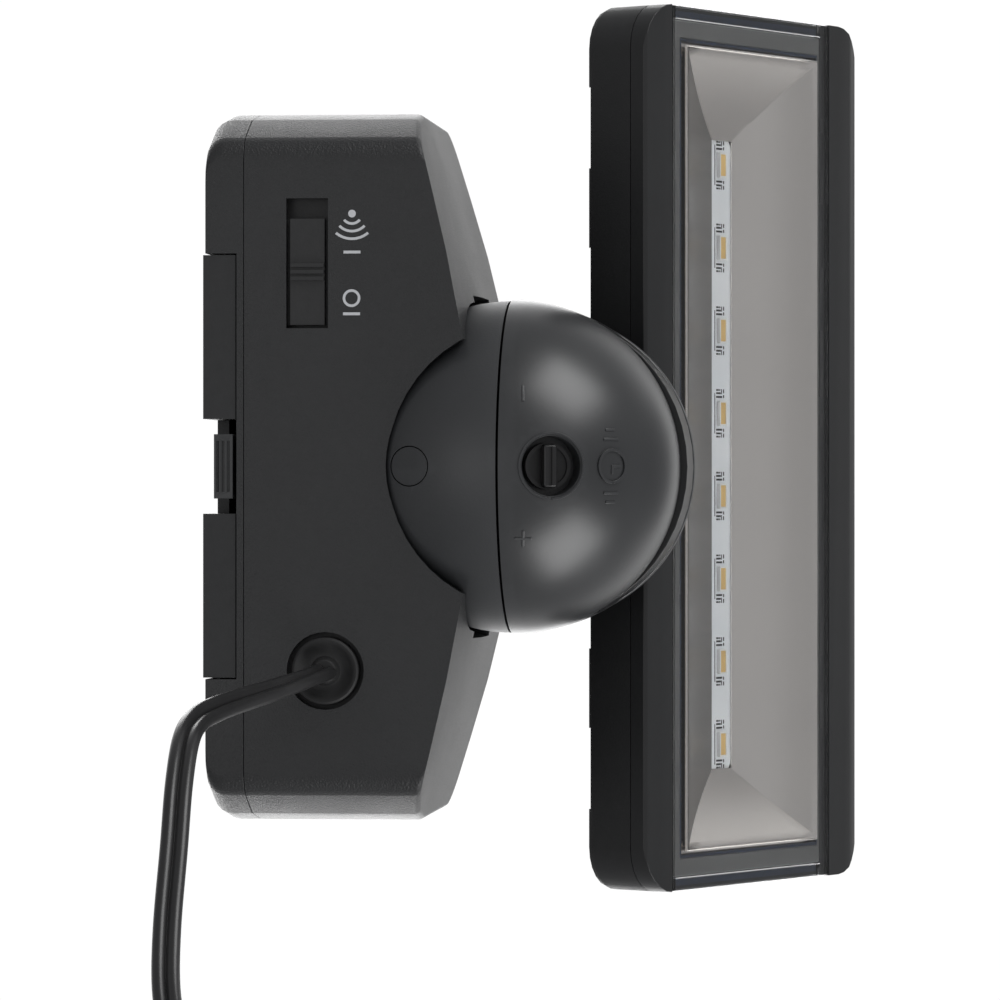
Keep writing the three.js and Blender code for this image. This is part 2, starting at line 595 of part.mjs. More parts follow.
const { halfAcross, halfDeep, meanRadius } = COIL;
const ringProfile = [
  [-halfAcross, -halfDeep + 2], [-halfAcross + 2, -halfDeep], [halfAcross - 2, -halfDeep],
  [halfAcross, -halfDeep + 2], [halfAcross, halfDeep - 2], [halfAcross - 2, halfDeep],
  [-halfAcross + 2, halfDeep], [-halfAcross, halfDeep - 2], [-halfAcross, -halfDeep + 2],
].map(([r, y]) => new THREE.Vector2(meanRadius + r, y));
const coilGeometry = new THREE.LatheGeometry(ringProfile, 36);
coilGeometry.translate(COIL.x, COIL.y, COIL.z);
place("cable_coil", solid(coilGeometry), "cable");

const tieBlock = (width, grow) => block(
  [COIL.x - width, COIL.x + width], [COIL.y - halfDeep - grow, COIL.y + halfDeep + grow],
  [COIL.z + meanRadius - halfAcross - grow, COIL.z + meanRadius + halfAcross + grow],
);
place("cable_tie", cut(tieBlock(2.5, 1.5), tieBlock(4, 0.4)), "rubber");

const onPlug = (radius, low, high, segments, topRadius) => rod(
  "z", radius, PLUG.reliefTop + low, PLUG.reliefTop + high, PLUG.x, PLUG.y, segments, topRadius,
);
place("plug_relief", onPlug(4.2, -10.4, 0, 16, 2.6), "rubber");
place("plug_body", onPlug(5.2, -34, -10.7, 24), "rubber");
place("plug_barrel", onPlug(2.75, -44, -34.3, 20), "steel");

export default group;
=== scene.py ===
import json
import math

import bmesh
import bpy
from bpy.props import FloatProperty, FloatVectorProperty, IntProperty, PointerProperty
from mathutils import Matrix, Vector

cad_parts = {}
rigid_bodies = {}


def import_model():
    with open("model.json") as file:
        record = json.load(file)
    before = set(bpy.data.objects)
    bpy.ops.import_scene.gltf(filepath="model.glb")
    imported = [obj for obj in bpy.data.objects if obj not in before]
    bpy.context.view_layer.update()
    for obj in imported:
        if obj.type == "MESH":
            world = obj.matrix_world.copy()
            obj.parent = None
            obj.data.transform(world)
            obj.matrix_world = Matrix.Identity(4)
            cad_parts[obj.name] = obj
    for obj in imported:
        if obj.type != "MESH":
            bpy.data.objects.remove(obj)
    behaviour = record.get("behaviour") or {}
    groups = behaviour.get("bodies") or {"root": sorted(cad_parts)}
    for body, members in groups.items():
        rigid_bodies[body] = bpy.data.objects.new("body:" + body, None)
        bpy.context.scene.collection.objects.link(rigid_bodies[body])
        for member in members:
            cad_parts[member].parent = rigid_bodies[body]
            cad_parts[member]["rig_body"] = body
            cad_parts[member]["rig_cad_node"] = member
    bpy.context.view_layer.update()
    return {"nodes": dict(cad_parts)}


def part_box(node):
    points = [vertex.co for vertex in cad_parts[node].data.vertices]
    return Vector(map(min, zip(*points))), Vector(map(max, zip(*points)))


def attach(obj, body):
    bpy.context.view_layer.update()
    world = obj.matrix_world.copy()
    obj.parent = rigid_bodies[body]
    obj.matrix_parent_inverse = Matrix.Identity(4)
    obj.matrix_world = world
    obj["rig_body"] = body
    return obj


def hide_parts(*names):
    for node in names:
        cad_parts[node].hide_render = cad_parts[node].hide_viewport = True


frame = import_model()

bl_info = {
    "name": "Solar flood light",
    "version": (1, 0, 0),
    "blender": (4, 5, 0),
    "location": "3D View > Sidebar > Flood Light",
    "description": "Builds the looks of a wall-mounted solar flood light round its CAD frame",
    "category": "Object",
}

MM = 0.001

# The turret's axis, the dome's centre and the lamp head's place, as the frame gives them.
DOME_LOW, DOME_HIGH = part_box("turret_front_shell")
DOME_X = (DOME_LOW.x + DOME_HIGH.x) / 2
DOME_Y = DOME_HIGH.y + 0.08 * MM
DOME_RADIUS = (DOME_HIGH.x - DOME_LOW.x) / 2
DOME_Z = DOME_LOW.z + DOME_RADIUS
DOME_TOP = DOME_HIGH.z
HEAD_TILT = math.radians(28)
HEAD_ORIGIN = Vector((-4.4, -94.8, 37)) * MM
HEAD_PLACE = Matrix.Translation(HEAD_ORIGIN) @ Matrix.Rotation(HEAD_TILT, 4, "X")
KNOB_TILT = math.radians(18.6)
CLOCK_TILT = math.radians(41)
SIGN_TILT = math.radians(9.2)
SIGN_SPREAD = math.asin(15.2 / 35.9)
LENS_HALF_ANGLE = math.radians(62)
RIM_RADIUS = 34.15
RIM_FORWARD = 3.45

# The gap between a seam's lip and the plane where the turret's two shells meet.
SEAM = 0.28 * MM

# The reflector's floor: how far the lamps' channel runs each way and where its middle is.
CHANNEL = {"centre": 1.2, "half_length": 71.4, "half_width": 4.4, "depth": 9.9}
TROUGH = {"half_length": 89, "low": 8.7, "high": 64.7, "depth": 2.5}

# The lead's route: out of the grommet, back beside the bracket, then down and along the wall.
LEAD_ROUTE = [
    (43.2, -26, -33.8), (43.6, -25.4, -40), (44.8, -22.5, -48), (46.6, -17.5, -57),
    (48.2, -12.8, -68), (49.6, -9.6, -80), (51.2, -7.9, -92), (54.6, -7.4, -103.5),
    (63, -7.4, -113), (75, -7.7, -121.5), (90, -7.9, -131.5), (101.5, -9.2, -140.6),
    (110.5, -12.4, -149.5), (117.2, -16.4, -160), (121.6, -20.6, -173),
]
COIL = {
    "centre": (166, -15.5, -196), "radius": 35.8, "columns": 4, "layers": 5,
    "across": 5.75, "apart": 2.95, "steps": 24,
}
TAIL_END = (124.3, -6.9, -226)
LEAD_TWIST = math.radians(62)


# ---------------------------------------------------------------- sizes and colours
class LeadSizes(bpy.types.PropertyGroup):
    length: FloatProperty(
        name="Length", description="Whole length of the lead", default=4.75,
        min=1.0, unit="LENGTH",
    )
    width: FloatProperty(
        name="Width", description="Width over both cores", default=5.6 * MM, unit="LENGTH",
    )
    core: FloatProperty(
        name="Core", description="Thickness of one sheathed core", default=2.8 * MM, unit="LENGTH",
    )


class PlasticLooks(bpy.types.PropertyGroup):
    housing: FloatVectorProperty(
        name="Housing", description="Colour of the housing's moulded plastic",
        default=(0.0098, 0.0103, 0.0112), subtype="COLOR", size=3,
    )
    turret: FloatVectorProperty(
        name="Turret", description="Colour of the turret's smoother plastic",
        default=(0.018, 0.019, 0.0205), subtype="COLOR", size=3,
    )
    head: FloatVectorProperty(
        name="Lamp head", description="Colour of the lamp head's plastic",
        default=(0.0092, 0.0096, 0.0102), subtype="COLOR", size=3,
    )
    edge: FloatProperty(
        name="Edge", description="Rounding of moulded edges", default=0.45 * MM, unit="LENGTH",
    )


class StageSizes(bpy.types.PropertyGroup):
    distance: FloatProperty(
        name="Distance", description="Camera distance from the underside", default=1.2,
        unit="LENGTH",
    )
    lean: FloatProperty(
        name="Lean", description="How far the camera looks in from the front",
        default=math.radians(5.5), subtype="ANGLE",
    )
    scale: FloatProperty(
        name="Scale", description="Width of the view at the underside", default=0.21,
        unit="LENGTH",
    )
    key: FloatProperty(name="Side lights", description="Power of each side light", default=8.5)
    lamps: IntProperty(name="LEDs", description="Number of LEDs on the strip", default=8)


class FloodLight(bpy.types.PropertyGroup):
    lead: PointerProperty(type=LeadSizes)
    plastic: PointerProperty(type=PlasticLooks)
    stage: PointerProperty(type=StageSizes)


def sizes():
    return bpy.context.scene.flood_light


# ---------------------------------------------------------------- modelling by hand
def deselect():
    if bpy.context.object and bpy.context.object.mode != "OBJECT":
        bpy.ops.object.mode_set(mode="OBJECT")
    bpy.ops.object.select_all(action="DESELECT")


def activate(obj):
    deselect()
    obj.select_set(True)
    bpy.context.view_layer.objects.active = obj
    return obj


def called(name):
    """Names the piece just added and moves its place into its mesh."""
    obj = bpy.context.object
    obj.name = name
    obj.data.name = name
    bpy.ops.object.transform_apply(location=True, rotation=True, scale=True)
    return obj


def apply_modifier(obj, kind, **values):
    modifier = obj.modifiers.new(kind.lower(), kind)
    for key, value in values.items():
        setattr(modifier, key, value)
    activate(obj)
    bpy.ops.object.modifier_apply(modifier=modifier.name)
    return obj


def carve(obj, *tools, operation="DIFFERENCE"):
    for tool in tools:
        apply_modifier(obj, "BOOLEAN", operation=operation, object=tool, solver="EXACT")
        bpy.data.objects.remove(tool)
    return obj


def soften(obj, width, segments=2, angle=35):
    return apply_modifier(
        obj, "BEVEL", width=width, segments=segments, limit_method="ANGLE",
        angle_limit=math.radians(angle), use_clamp_overlap=True,
    )


def smooth(obj, angle=35):
    activate(obj)
    bpy.ops.object.shade_smooth_by_angle(angle=math.radians(angle))
    return obj


def box(name, low, high, place=None):
    """A block between two corners in millimetres."""
    deselect()
    low, high = Vector(low) * MM, Vector(high) * MM
    bpy.ops.mesh.primitive_cube_add(size=1, location=(low + high) / 2, scale=high - low)
    obj = called(name)
    if place is not None:
        obj.data.transform(place)
    return obj


def disc(name, radius, low, high, place=None, vertices=48, top=None):
    """A short round bar along Z from low to high, in millimetres, then put in place."""
    deselect()
    bpy.ops.mesh.primitive_cone_add(
        vertices=vertices, radius1=radius * MM, radius2=(radius if top is None else top) * MM,
        depth=(high - low) * MM, location=(0, 0, (low + high) / 2 * MM),
    )
    obj = called(name)
    if place is not None:
        obj.data.transform(place)
    return obj


def placed(name, mesh, place=None):
    """Puts a mesh in the scene as an object of that name."""
    obj = bpy.data.objects.new(name, mesh)
    bpy.context.scene.collection.objects.link(obj)
    if place is not None:
        obj.data.transform(place)
    return obj


def solid_of(name, shape, place=None):
    """Turns a finished bmesh into an object."""
    mesh = bpy.data.meshes.new(name)
    shape.to_mesh(mesh)
    shape.free()
    return placed(name, mesh, place)


def spun(name, profile, centre, steps=96):
    """A turned solid: the profile (radius, height) in metres is spun round a vertical axis."""
    deselect()
    mesh = bpy.data.meshes.new(name)
    points = [(centre[0] + r, centre[1], z) for r, z in profile]
    mesh.from_pydata(points, [(i, i + 1) for i in range(len(points) - 1)], [])
    obj = activate(placed(name, mesh))
    bpy.ops.object.mode_set(mode="EDIT")
    bpy.ops.mesh.select_all(action="SELECT")
    bpy.ops.mesh.spin(steps=steps, angle=2 * math.pi, center=(*centre, 0), axis=(0, 0, 1))
    bpy.ops.mesh.select_all(action="SELECT")
    bpy.ops.mesh.remove_doubles(threshold=1e-6)
    bpy.ops.mesh.normals_make_consistent(inside=False)
    bpy.ops.object.mode_set(mode="OBJECT")
    return obj


def keep_side(obj, point, normal):
    """Cuts the solid at a plane and keeps what lies against the normal."""
    activate(obj)
    bpy.ops.object.mode_set(mode="EDIT")
    bpy.ops.mesh.select_all(action="SELECT")
    bpy.ops.mesh.bisect(plane_co=point, plane_no=normal, use_fill=True, clear_outer=True)
    bpy.ops.object.mode_set(mode="OBJECT")
    return obj


def finer(node, name, edge=None, segments=2, angle=35):
    """A copy of a CAD node with its facets merged and its edges rounded."""
    deselect()
    source = frame["nodes"][node]
    obj = source.copy()
    obj.data = source.data.copy()
    obj.name = name
    obj.data.name = name
    obj.parent = None
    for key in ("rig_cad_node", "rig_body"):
        if key in obj:
            del obj[key]
    obj.data.materials.clear()
    bpy.context.scene.collection.objects.link(obj)
    obj.matrix_world = Matrix.Identity(4)
    activate(obj)
    bpy.ops.object.mode_set(mode="EDIT")
    bpy.ops.mesh.select_all(action="SELECT")
    bpy.ops.mesh.remove_doubles(threshold=4e-6)
    bpy.ops.mesh.dissolve_limited(angle_limit=math.radians(0.6))
    bpy.ops.object.mode_set(mode="OBJECT")
    if edge:
        soften(obj, edge, segments, angle)
    return obj


def plate(name, outline, low, high, place=None):
    """A flat outline in (x, y), millimetres, given a thickness from low to high."""
    deselect()
    shape = bmesh.new()
    face = shape.faces.new([shape.verts.new((x * MM, y * MM, low * MM)) for x, y in outline])
    raised = bmesh.ops.extrude_face_region(shape, geom=[face])
    moved = [v for v in raised["geom"] if isinstance(v, bmesh.types.BMVert)]
    bmesh.ops.translate(shape, verts=moved, vec=(0, 0, (high - low) * MM))
    bmesh.ops.recalc_face_normals(shape, faces=shape.faces)
    return solid_of(name, shape, place)


def joined(name, parts):
    """Several like shapes as one piece."""
    deselect()
    for part in parts:
        part.select_set(True)
    bpy.context.view_layer.objects.active = parts[0]
    bpy.ops.object.join()
    obj = bpy.context.object
    obj.name = name
    obj.data.name = name
    return obj


def finish_piece(obj, body, material, slot, *nodes, angle=35):
    smooth(obj, angle)
    apply_modifier(obj, "WEIGHTED_NORMAL", keep_sharp=True, weight=100)
    obj.data.materials.clear()
    obj.data.materials.append(material)
    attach(obj, body)
    if nodes:
        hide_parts(*nodes)
    return obj


def dress(material, *nodes):
    """Gives CAD nodes that stay in sight their finish."""
    for node in nodes:
        data = frame["nodes"][node].data
        data.materials.clear()
        data.materials.append(material)


def bent_strip(centre, radius, width, start, end, steps):
    """Outline of a curved strip, in degrees and millimetres."""
    angles = [math.radians(start + (end - start) * i / steps) for i in range(steps + 1)]
    outer = [(centre[0] + (radius + width / 2) * math.cos(a),
              centre[1] + (radius + width / 2) * math.sin(a)) for a in angles]
    inner = [(centre[0] + (radius - width / 2) * math.cos(a),
              centre[1] + (radius - width / 2) * math.sin(a)) for a in reversed(angles)]
    return outer + inner


# ---------------------------------------------------------------- finishes
def new_group(name, inputs, outputs):
    group = bpy.data.node_groups.new(name, "ShaderNodeTree")
    for label, kind, default in inputs:
        socket = group.interface.new_socket(name=label, in_out="INPUT", socket_type=kind)
        if default is not None:
            socket.default_value = default
    for label, kind in outputs:
        group.interface.new_socket(name=label, in_out="OUTPUT", socket_type=kind)
    return group, group.nodes.new("NodeGroupInput"), group.nodes.new("NodeGroupOutput")


def math_node(tree, operation, a, b, clamp=False):
    node = tree.nodes.new("ShaderNodeMath")
    node.operation = operation
    node.use_clamp = clamp
    for socket, value in zip(node.inputs, (a, b)):
        if isinstance(value, (int, float)):
            socket.default_value = value
        else:
            tree.links.new(value, socket)
    return node.outputs[0]


def noise(tree, vector, scale, detail=4.0, rough=0.55):
    node = tree.nodes.new("ShaderNodeTexNoise")
    node.inputs["Detail"].default_value = detail
    node.inputs["Roughness"].default_value = rough
    if isinstance(scale, (int, float)):
        node.inputs["Scale"].default_value = scale
    else:
        tree.links.new(scale, node.inputs["Scale"])
    tree.links.new(vector, node.inputs["Vector"])
    return node.outputs["Fac"]


def eased(tree, value, low, high, interpolation="LINEAR"):
    """Rises from 0 to 1 while the value goes from low to high."""
    node = tree.nodes.new("ShaderNodeMapRange")
    node.interpolation_type = interpolation
    node.inputs["From Min"].default_value = low
    node.inputs["From Max"].default_value = high
    tree.links.new(value, node.inputs["Value"])
    return node.outputs["Result"]


def stretched(tree, vector, scale):
    node = tree.nodes.new("ShaderNodeMapping")
    node.inputs["Scale"].default_value = scale
    tree.links.new(vector, node.inputs["Vector"])
    return node.outputs["Vector"]


def bumped(tree, shader, height, strength, distance):
    relief = tree.nodes.new("ShaderNodeBump")
    relief.inputs["Strength"].default_value = strength
    relief.inputs["Distance"].default_value = distance
    tree.links.new(height, relief.inputs["Height"])
    tree.links.new(relief.outputs["Normal"], shader.inputs["Normal"])


def roughened(tree, shader, mask, share, base):
    """Roughness that rises from its base with a mask."""
    spread = math_node(tree, "MULTIPLY", mask, share)
    tree.links.new(math_node(tree, "ADD", spread, base, clamp=True), shader.inputs["Roughness"])


def grain_group():
    """Fine spark-eroded texture: a bump height and a slow mottle."""
    group, given, out = new_group(
        "Moulded grain",
        [("Vector", "NodeSocketVector", None), ("Fineness", "NodeSocketFloat", 2400.0),
         ("Depth", "NodeSocketFloat", 0.5)],
        [("Height", "NodeSocketFloat"), ("Mottle", "NodeSocketFloat")],
    )
    vector, fineness = given.outputs["Vector"], given.outputs["Fineness"]
    coarse = noise(group, vector, fineness, 3.0, 0.6)
    cells = group.nodes.new("ShaderNodeTexVoronoi")
    group.links.new(vector, cells.inputs["Vector"])
    group.links.new(math_node(group, "MULTIPLY", fineness, 0.8), cells.inputs["Scale"])
    height = math_node(group, "ADD", coarse, math_node(
        group, "MULTIPLY", cells.outputs["Distance"], 0.5))
    group.links.new(
        math_node(group, "MULTIPLY", height, given.outputs["Depth"]), out.inputs["Height"])
    group.links.new(noise(group, vector, 38.0, 3.0), out.inputs["Mottle"])
    return group


def wear_and_highlight_group():
    """Paler edges: partly worn plastic, partly a painted highlight standing in for light caught on
    rounded edges.
    """
    group, given, out = new_group(
        "Worn edges and painted highlight",
        [("Vector", "NodeSocketVector", None), ("Amount", "NodeSocketFloat", 0.5)],
        [("Mask", "NodeSocketFloat")],
    )
    shape = group.nodes.new("ShaderNodeNewGeometry")
    ridge = eased(group, shape.outputs["Pointiness"], 0.51, 0.57)
    broken = math_node(group, "MULTIPLY", ridge, noise(group, given.outputs["Vector"], 420.0))
    group.links.new(math_node(
        group, "MULTIPLY", broken, given.outputs["Amount"], clamp=True), out.inputs["Mask"])
    return group


def dust_group():
    """A thin haze of dust where it can settle."""
    group, given, out = new_group(
        "Settled dust",
        [("Vector", "NodeSocketVector", None), ("Amount", "NodeSocketFloat", 0.2)],
        [("Mask", "NodeSocketFloat")],
    )
    shape = group.nodes.new("ShaderNodeTexCoord")
    parts = group.nodes.new("ShaderNodeSeparateXYZ")
    group.links.new(shape.outputs["Normal"], parts.inputs[0])
    upward = math_node(group, "MAXIMUM", parts.outputs["Z"], 0.0)
    patches = math_node(group, "POWER", noise(group, given.outputs["Vector"], 160.0, 6.0), 2.5)
    speck = math_node(group, "ADD", math_node(group, "MULTIPLY", upward, patches),
                      math_node(group, "MULTIPLY", patches, 0.12))
    group.links.new(math_node(
        group, "MULTIPLY", speck, given.outputs["Amount"], clamp=True), out.inputs["Mask"])
    return group


def shared(name, make):
    return bpy.data.node_groups.get(name) or make()


def place_group(tree, name, make, vector, **values):
    node = tree.nodes.new("ShaderNodeGroup")
    node.node_tree = shared(name, make)
    tree.links.new(vector, node.inputs["Vector"])
    for key, value in values.items():
        node.inputs[key.capitalize()].default_value = value
    return node


def blank(name):
    material = bpy.data.materials.new(name)
    material.use_nodes = True
    tree = material.node_tree
    shader = tree.nodes["Principled BSDF"]
    where = tree.nodes.new("ShaderNodeTexCoord")
    return material, tree, shader, where.outputs["Object"]


def made_once(make):
    """A finish is made the first time that it is asked for, and found by its name after that."""
    def find(name, *numbers, **values):
        return bpy.data.materials.get(name) or make(name, *numbers, **values)
    return find


def tint(tree, low, high, mask):
    """A colour between two fixed ones."""
    node = tree.nodes.new("ShaderNodeMix")
    node.data_type = "RGBA"
    node.inputs["A"].default_value = (*low, 1)
    node.inputs["B"].default_value = (*high, 1)
    tree.links.new(mask, node.inputs["Factor"])
    return node.outputs["Result"]


def over(tree, under, high, mask):
    """A fixed colour laid over another by a mask."""
    node = tree.nodes.new("ShaderNodeMix")
    node.data_type = "RGBA"
    tree.links.new(under, node.inputs["A"])
    node.inputs["B"].default_value = (*high, 1)
    tree.links.new(mask, node.inputs["Factor"])
    return node.outputs["Result"]


@made_once
def moulded(name, colour, roughness, fineness=2400.0, depth=0.5, bump=0.12, wear_and_highlight=0.35,
            dust=0.12, coat=0.0, specular=0.5, sheen=0.0):
    """Moulded plastic or rubber: grain, mottled colour, paler edges that are partly worn and partly
    a painted highlight, and a little dust.
    """
    material, tree, shader, where = blank(name)
    grain = place_group(tree, "Moulded grain", grain_group, where, fineness=fineness, depth=depth)
    edges = place_group(tree, "Worn edges and painted highlight", wear_and_highlight_group, where, amount=wear_and_highlight)
    haze = place_group(tree, "Settled dust", dust_group, where, amount=dust)
    paler = tuple(min(1.0, c * 1.5 + 0.002) for c in colour)
    body = tint(tree, colour, paler, grain.outputs["Mottle"])
    # Paler edge colour: partly worn plastic, partly a painted highlight on rounded edges.
    worn_and_highlit = over(tree, body, tuple(min(1.0, c * 2.6 + 0.015) for c in colour),
                  edges.outputs["Mask"])
    tree.links.new(over(tree, worn_and_highlit, (0.22, 0.21, 0.19), haze.outputs["Mask"]),
                   shader.inputs["Base Color"])
    roughened(tree, shader, grain.outputs["Mottle"], 0.12, roughness - 0.06)
    bumped(tree, shader, grain.outputs["Height"], bump, 0.0004)
    shader.inputs["Specular IOR Level"].default_value = specular
    shader.inputs["Coat Weight"].default_value = coat
    shader.inputs["Coat Roughness"].default_value = 0.2
    shader.inputs["Sheen Weight"].default_value = sheen
    return material


@made_once
def metal(name, colour, roughness, streak=(1.0, 1.0, 1.0), bump=0.05, variation=0.12):
    """Bare or plated metal with fine drawn lines."""
    material, tree, shader, where = blank(name)
    lines = noise(tree, stretched(tree, where, streak), 260.0, 5.0, 0.6)
    tree.links.new(tint(tree, tuple(c * (1 - variation) for c in colour),
                        tuple(min(1.0, c * (1 + variation)) for c in colour), lines),
                   shader.inputs["Base Color"])
    roughened(tree, shader, lines, 0.14, roughness - 0.07)
    bumped(tree, shader, lines, bump, 0.0003)
    shader.inputs["Metallic"].default_value = 1.0
    return material


# Name of the face attribute that marks where the reflector gets painted shade.
PAINTED_SHADE_WALL = "painted_shade_wall"


@made_once
def mirror_coat(name):
    """Vacuum-metallised plastic; on the lower long wall it is rougher and carries painted shade, a
    darker metal colour with streaks.
    """
    material, tree, shader, where = blank(name)
    shaded_wall = tree.nodes.new("ShaderNodeAttribute")
    shaded_wall.attribute_name = PAINTED_SHADE_WALL
    streaks = noise(tree, stretched(tree, where, (1, 0.12, 0.12)), 190.0, 3.0, 0.6)
    mottle = noise(tree, where, 26.0, 2.0)
    base = tint(tree, (0.86, 0.812, 0.77), (0.95, 0.9, 0.853), mottle)
    # Painted shade: the darker colour with streaks that the lower long wall's faces get.
    shaded_streaks = tint(tree, (0.32, 0.318, 0.31), (0.5, 0.49, 0.475), streaks)
    blend = tree.nodes.new("ShaderNodeMix")
    blend.data_type = "RGBA"
    tree.links.new(base, blend.inputs["A"])
    tree.links.new(shaded_streaks, blend.inputs["B"])
    tree.links.new(shaded_wall.outputs["Fac"], blend.inputs["Factor"])
    tree.links.new(blend.outputs["Result"], shader.inputs["Base Color"])
    roughened(tree, shader, shaded_wall.outputs["Fac"], 0.1, 0.2)
    bumped(tree, shader, mottle, 0.015, 0.0006)
    shader.inputs["Metallic"].default_value = 1.0
    return material


@made_once
def clear(name, colour, roughness=0.0, ior=1.3):
    """Clear plastic with the faintest smudges."""
    material, tree, shader, where = blank(name)
    smudge = noise(tree, where, 60.0, 4.0)
    tree.links.new(tint(tree, colour, tuple(min(1.0, c * 1.03) for c in colour), smudge),
                   shader.inputs["Base Color"])
    roughened(tree, shader, smudge, 0.02, roughness)
    shader.inputs["Transmission Weight"].default_value = 1.0
    shader.inputs["IOR"].default_value = ior
    return material


def housing_plastic():
    return moulded("Housing plastic", sizes().plastic.housing, 0.42, 2400.0, 0.9, 0.42, 0.15,
                   specular=0.6)


def bracket_plastic():
    return moulded("Bracket plastic", tuple(c * 0.9 for c in sizes().plastic.housing), 0.5, 1800.0)


def turret_plastic():
    return moulded("Turret plastic", sizes().plastic.turret, 0.34, 1500.0, 0.35, 0.06, 0.25,
                   0.05, specular=0.75)


def turret_rear_plastic():
    return moulded("Turret rear plastic", tuple(c * 1.4 for c in sizes().plastic.turret), 0.46,
                   1900.0, 0.4, 0.12, 0.25, 0.05, specular=0.7)


def head_plastic():
    return moulded("Head plastic", sizes().plastic.head, 0.5, 2600.0, 0.5, 0.12)


def bezel_plastic():
    return moulded("Bezel plastic", sizes().plastic.head, 0.42, 2200.0, 0.4, 0.07)


def knob_plastic():
    return moulded("Knob plastic", (0.006, 0.006, 0.0065), 0.34, 1200.0, 0.3, 0.04)


def rubber():
    return moulded("Rubber", (0.009, 0.009, 0.0095), 0.62, 900.0, 0.7, 0.2, 0.1, 0.2)


def lead_sheath():
    return moulded("Lead sheath", (0.0135, 0.0135, 0.014), 0.34, 500.0, 0.4, 0.06, 0.1, 0.05,
                   specular=0.6)


def steel():
    return metal("Zinc plated steel", (0.56, 0.56, 0.57), 0.34, (1, 1, 6))


def inner_plastic():
    return moulded("Inner plastic", (0.05, 0.051, 0.054), 0.6, 700.0)


def circuit_green():
    return moulded("Circuit board", (0.015, 0.09, 0.032), 0.35, 300.0, 0.2, 0.03, 0.1, 0.0,
                   coat=0.4)


def print_white():
    return moulded("White print", (0.5, 0.51, 0.53), 0.6, 3000.0, 0.3, 0.05, 0.0, 0.0)


# ---------------------------------------------------------------- camera and lead
def coil_turns():
    """The wound part in millimetres: down through the layers, then up again in the next column."""
    centre = Vector(COIL["centre"])
    layers, columns, steps = COIL["layers"], COIL["columns"], COIL["steps"]
    step_across = 0.2
    turns = []
    for i in range(columns * layers * steps + 1):
        turn = i / steps
        column = min(int(turn // layers), columns - 1)
        within = turn - column * layers
        sunk = min(within, layers - 1)
        layer = (layers - 1) / 2 - sunk
        if column % 2:
            layer = -layer
        shift = max(0.0, (within - (layers - step_across)) / step_across)
        if column == columns - 1:
            shift = 0.0
        shift = shift * shift * (3 - 2 * shift)
        radius = COIL["radius"] + layer * COIL["apart"]
        y = centre.y + (column - (columns - 1) / 2 + shift) * COIL["across"]
        angle = math.pi + 2 * math.pi * turn
        turns.append(Vector((
            centre.x + radius * math.cos(angle), y, centre.z + radius * math.sin(angle))))
    return turns


def lead_line():
    """Centreline of the whole lead in metres, with the direction its width lies in."""
    turns = coil_turns()
    tail = [Vector((TAIL_END[0], TAIL_END[1], z)) for z in (-206, -216, TAIL_END[2])]
    bend = curve_through([Vector(p) for p in LEAD_ROUTE] + turns[:1], 9)
    last = curve_through([turns[-1]] + tail, 6)
    points = bend[:-1] + turns + last[1:]
    return [p * MM for p in points], lead_widths(points, len(bend))


def lead_widths(points, bend_count):
    """The way the lead's flat side lies: twisted at the grommet, flat to the wall in the coil."""
    lean = sizes().stage.lean
    towards = Vector((0, math.sin(lean), math.cos(lean)))
    widths = []
    previous = None
    for i in range(len(points)):
        ahead = points[min(i + 1, len(points) - 1)] - points[max(i - 1, 0)]
        across = ahead.cross(towards)
        blend = min(1.0, max(0.0, (i - bend_count * 0.8) / (bend_count * 0.2)))
        twist = LEAD_TWIST * min(1.0, max(0.0, 1.25 - i / (bend_count * 0.4)))
        across = Matrix.Rotation(twist, 3, ahead) @ across.normalized()
        fixed = Vector((0, 1, 0))
        if across.dot(fixed) < 0 and blend > 0:
            fixed = -fixed
        across = (across * (1 - blend) + fixed * blend).normalized()
        if previous is not None and across.dot(previous) < 0:
            across = -across
        previous = across
        widths.append(across)
    return widths


def mixed(start, end, share):
    """The value a share of the way from start to end."""
    return start + (end - start) * share


def curve_through(points, steps):
    """Smooth points through the given ones."""
    padded = [points[0] * 2 - points[1], *points, points[-1] * 2 - points[-2]]
    made = []
    for i in range(1, len(padded) - 2):
        a, b, c, d = padded[i - 1:i + 3]
        for k in range(steps):
            t = k / steps
            made.append(0.5 * (
                2 * b + (c - a) * t + (2 * a - 5 * b + 4 * c - d) * t * t
                + (3 * b - a - 3 * c + d) * t ** 3))
    made.append(points[-1].copy())
    return made


def twin_section(width, core, sides=12):
    """Outline of two sheathed cores side by side, joined by a thin web."""
    offset = (width - core) / 2
    radius = core / 2
    outline = []
    for side in (1, -1):
        for i in range(sides):
            angle = math.radians(-163 + 326 * i / (sides - 1))
            outline.append((side * (offset + radius * math.cos(angle)),
                            side * radius * math.sin(angle)))
    return outline


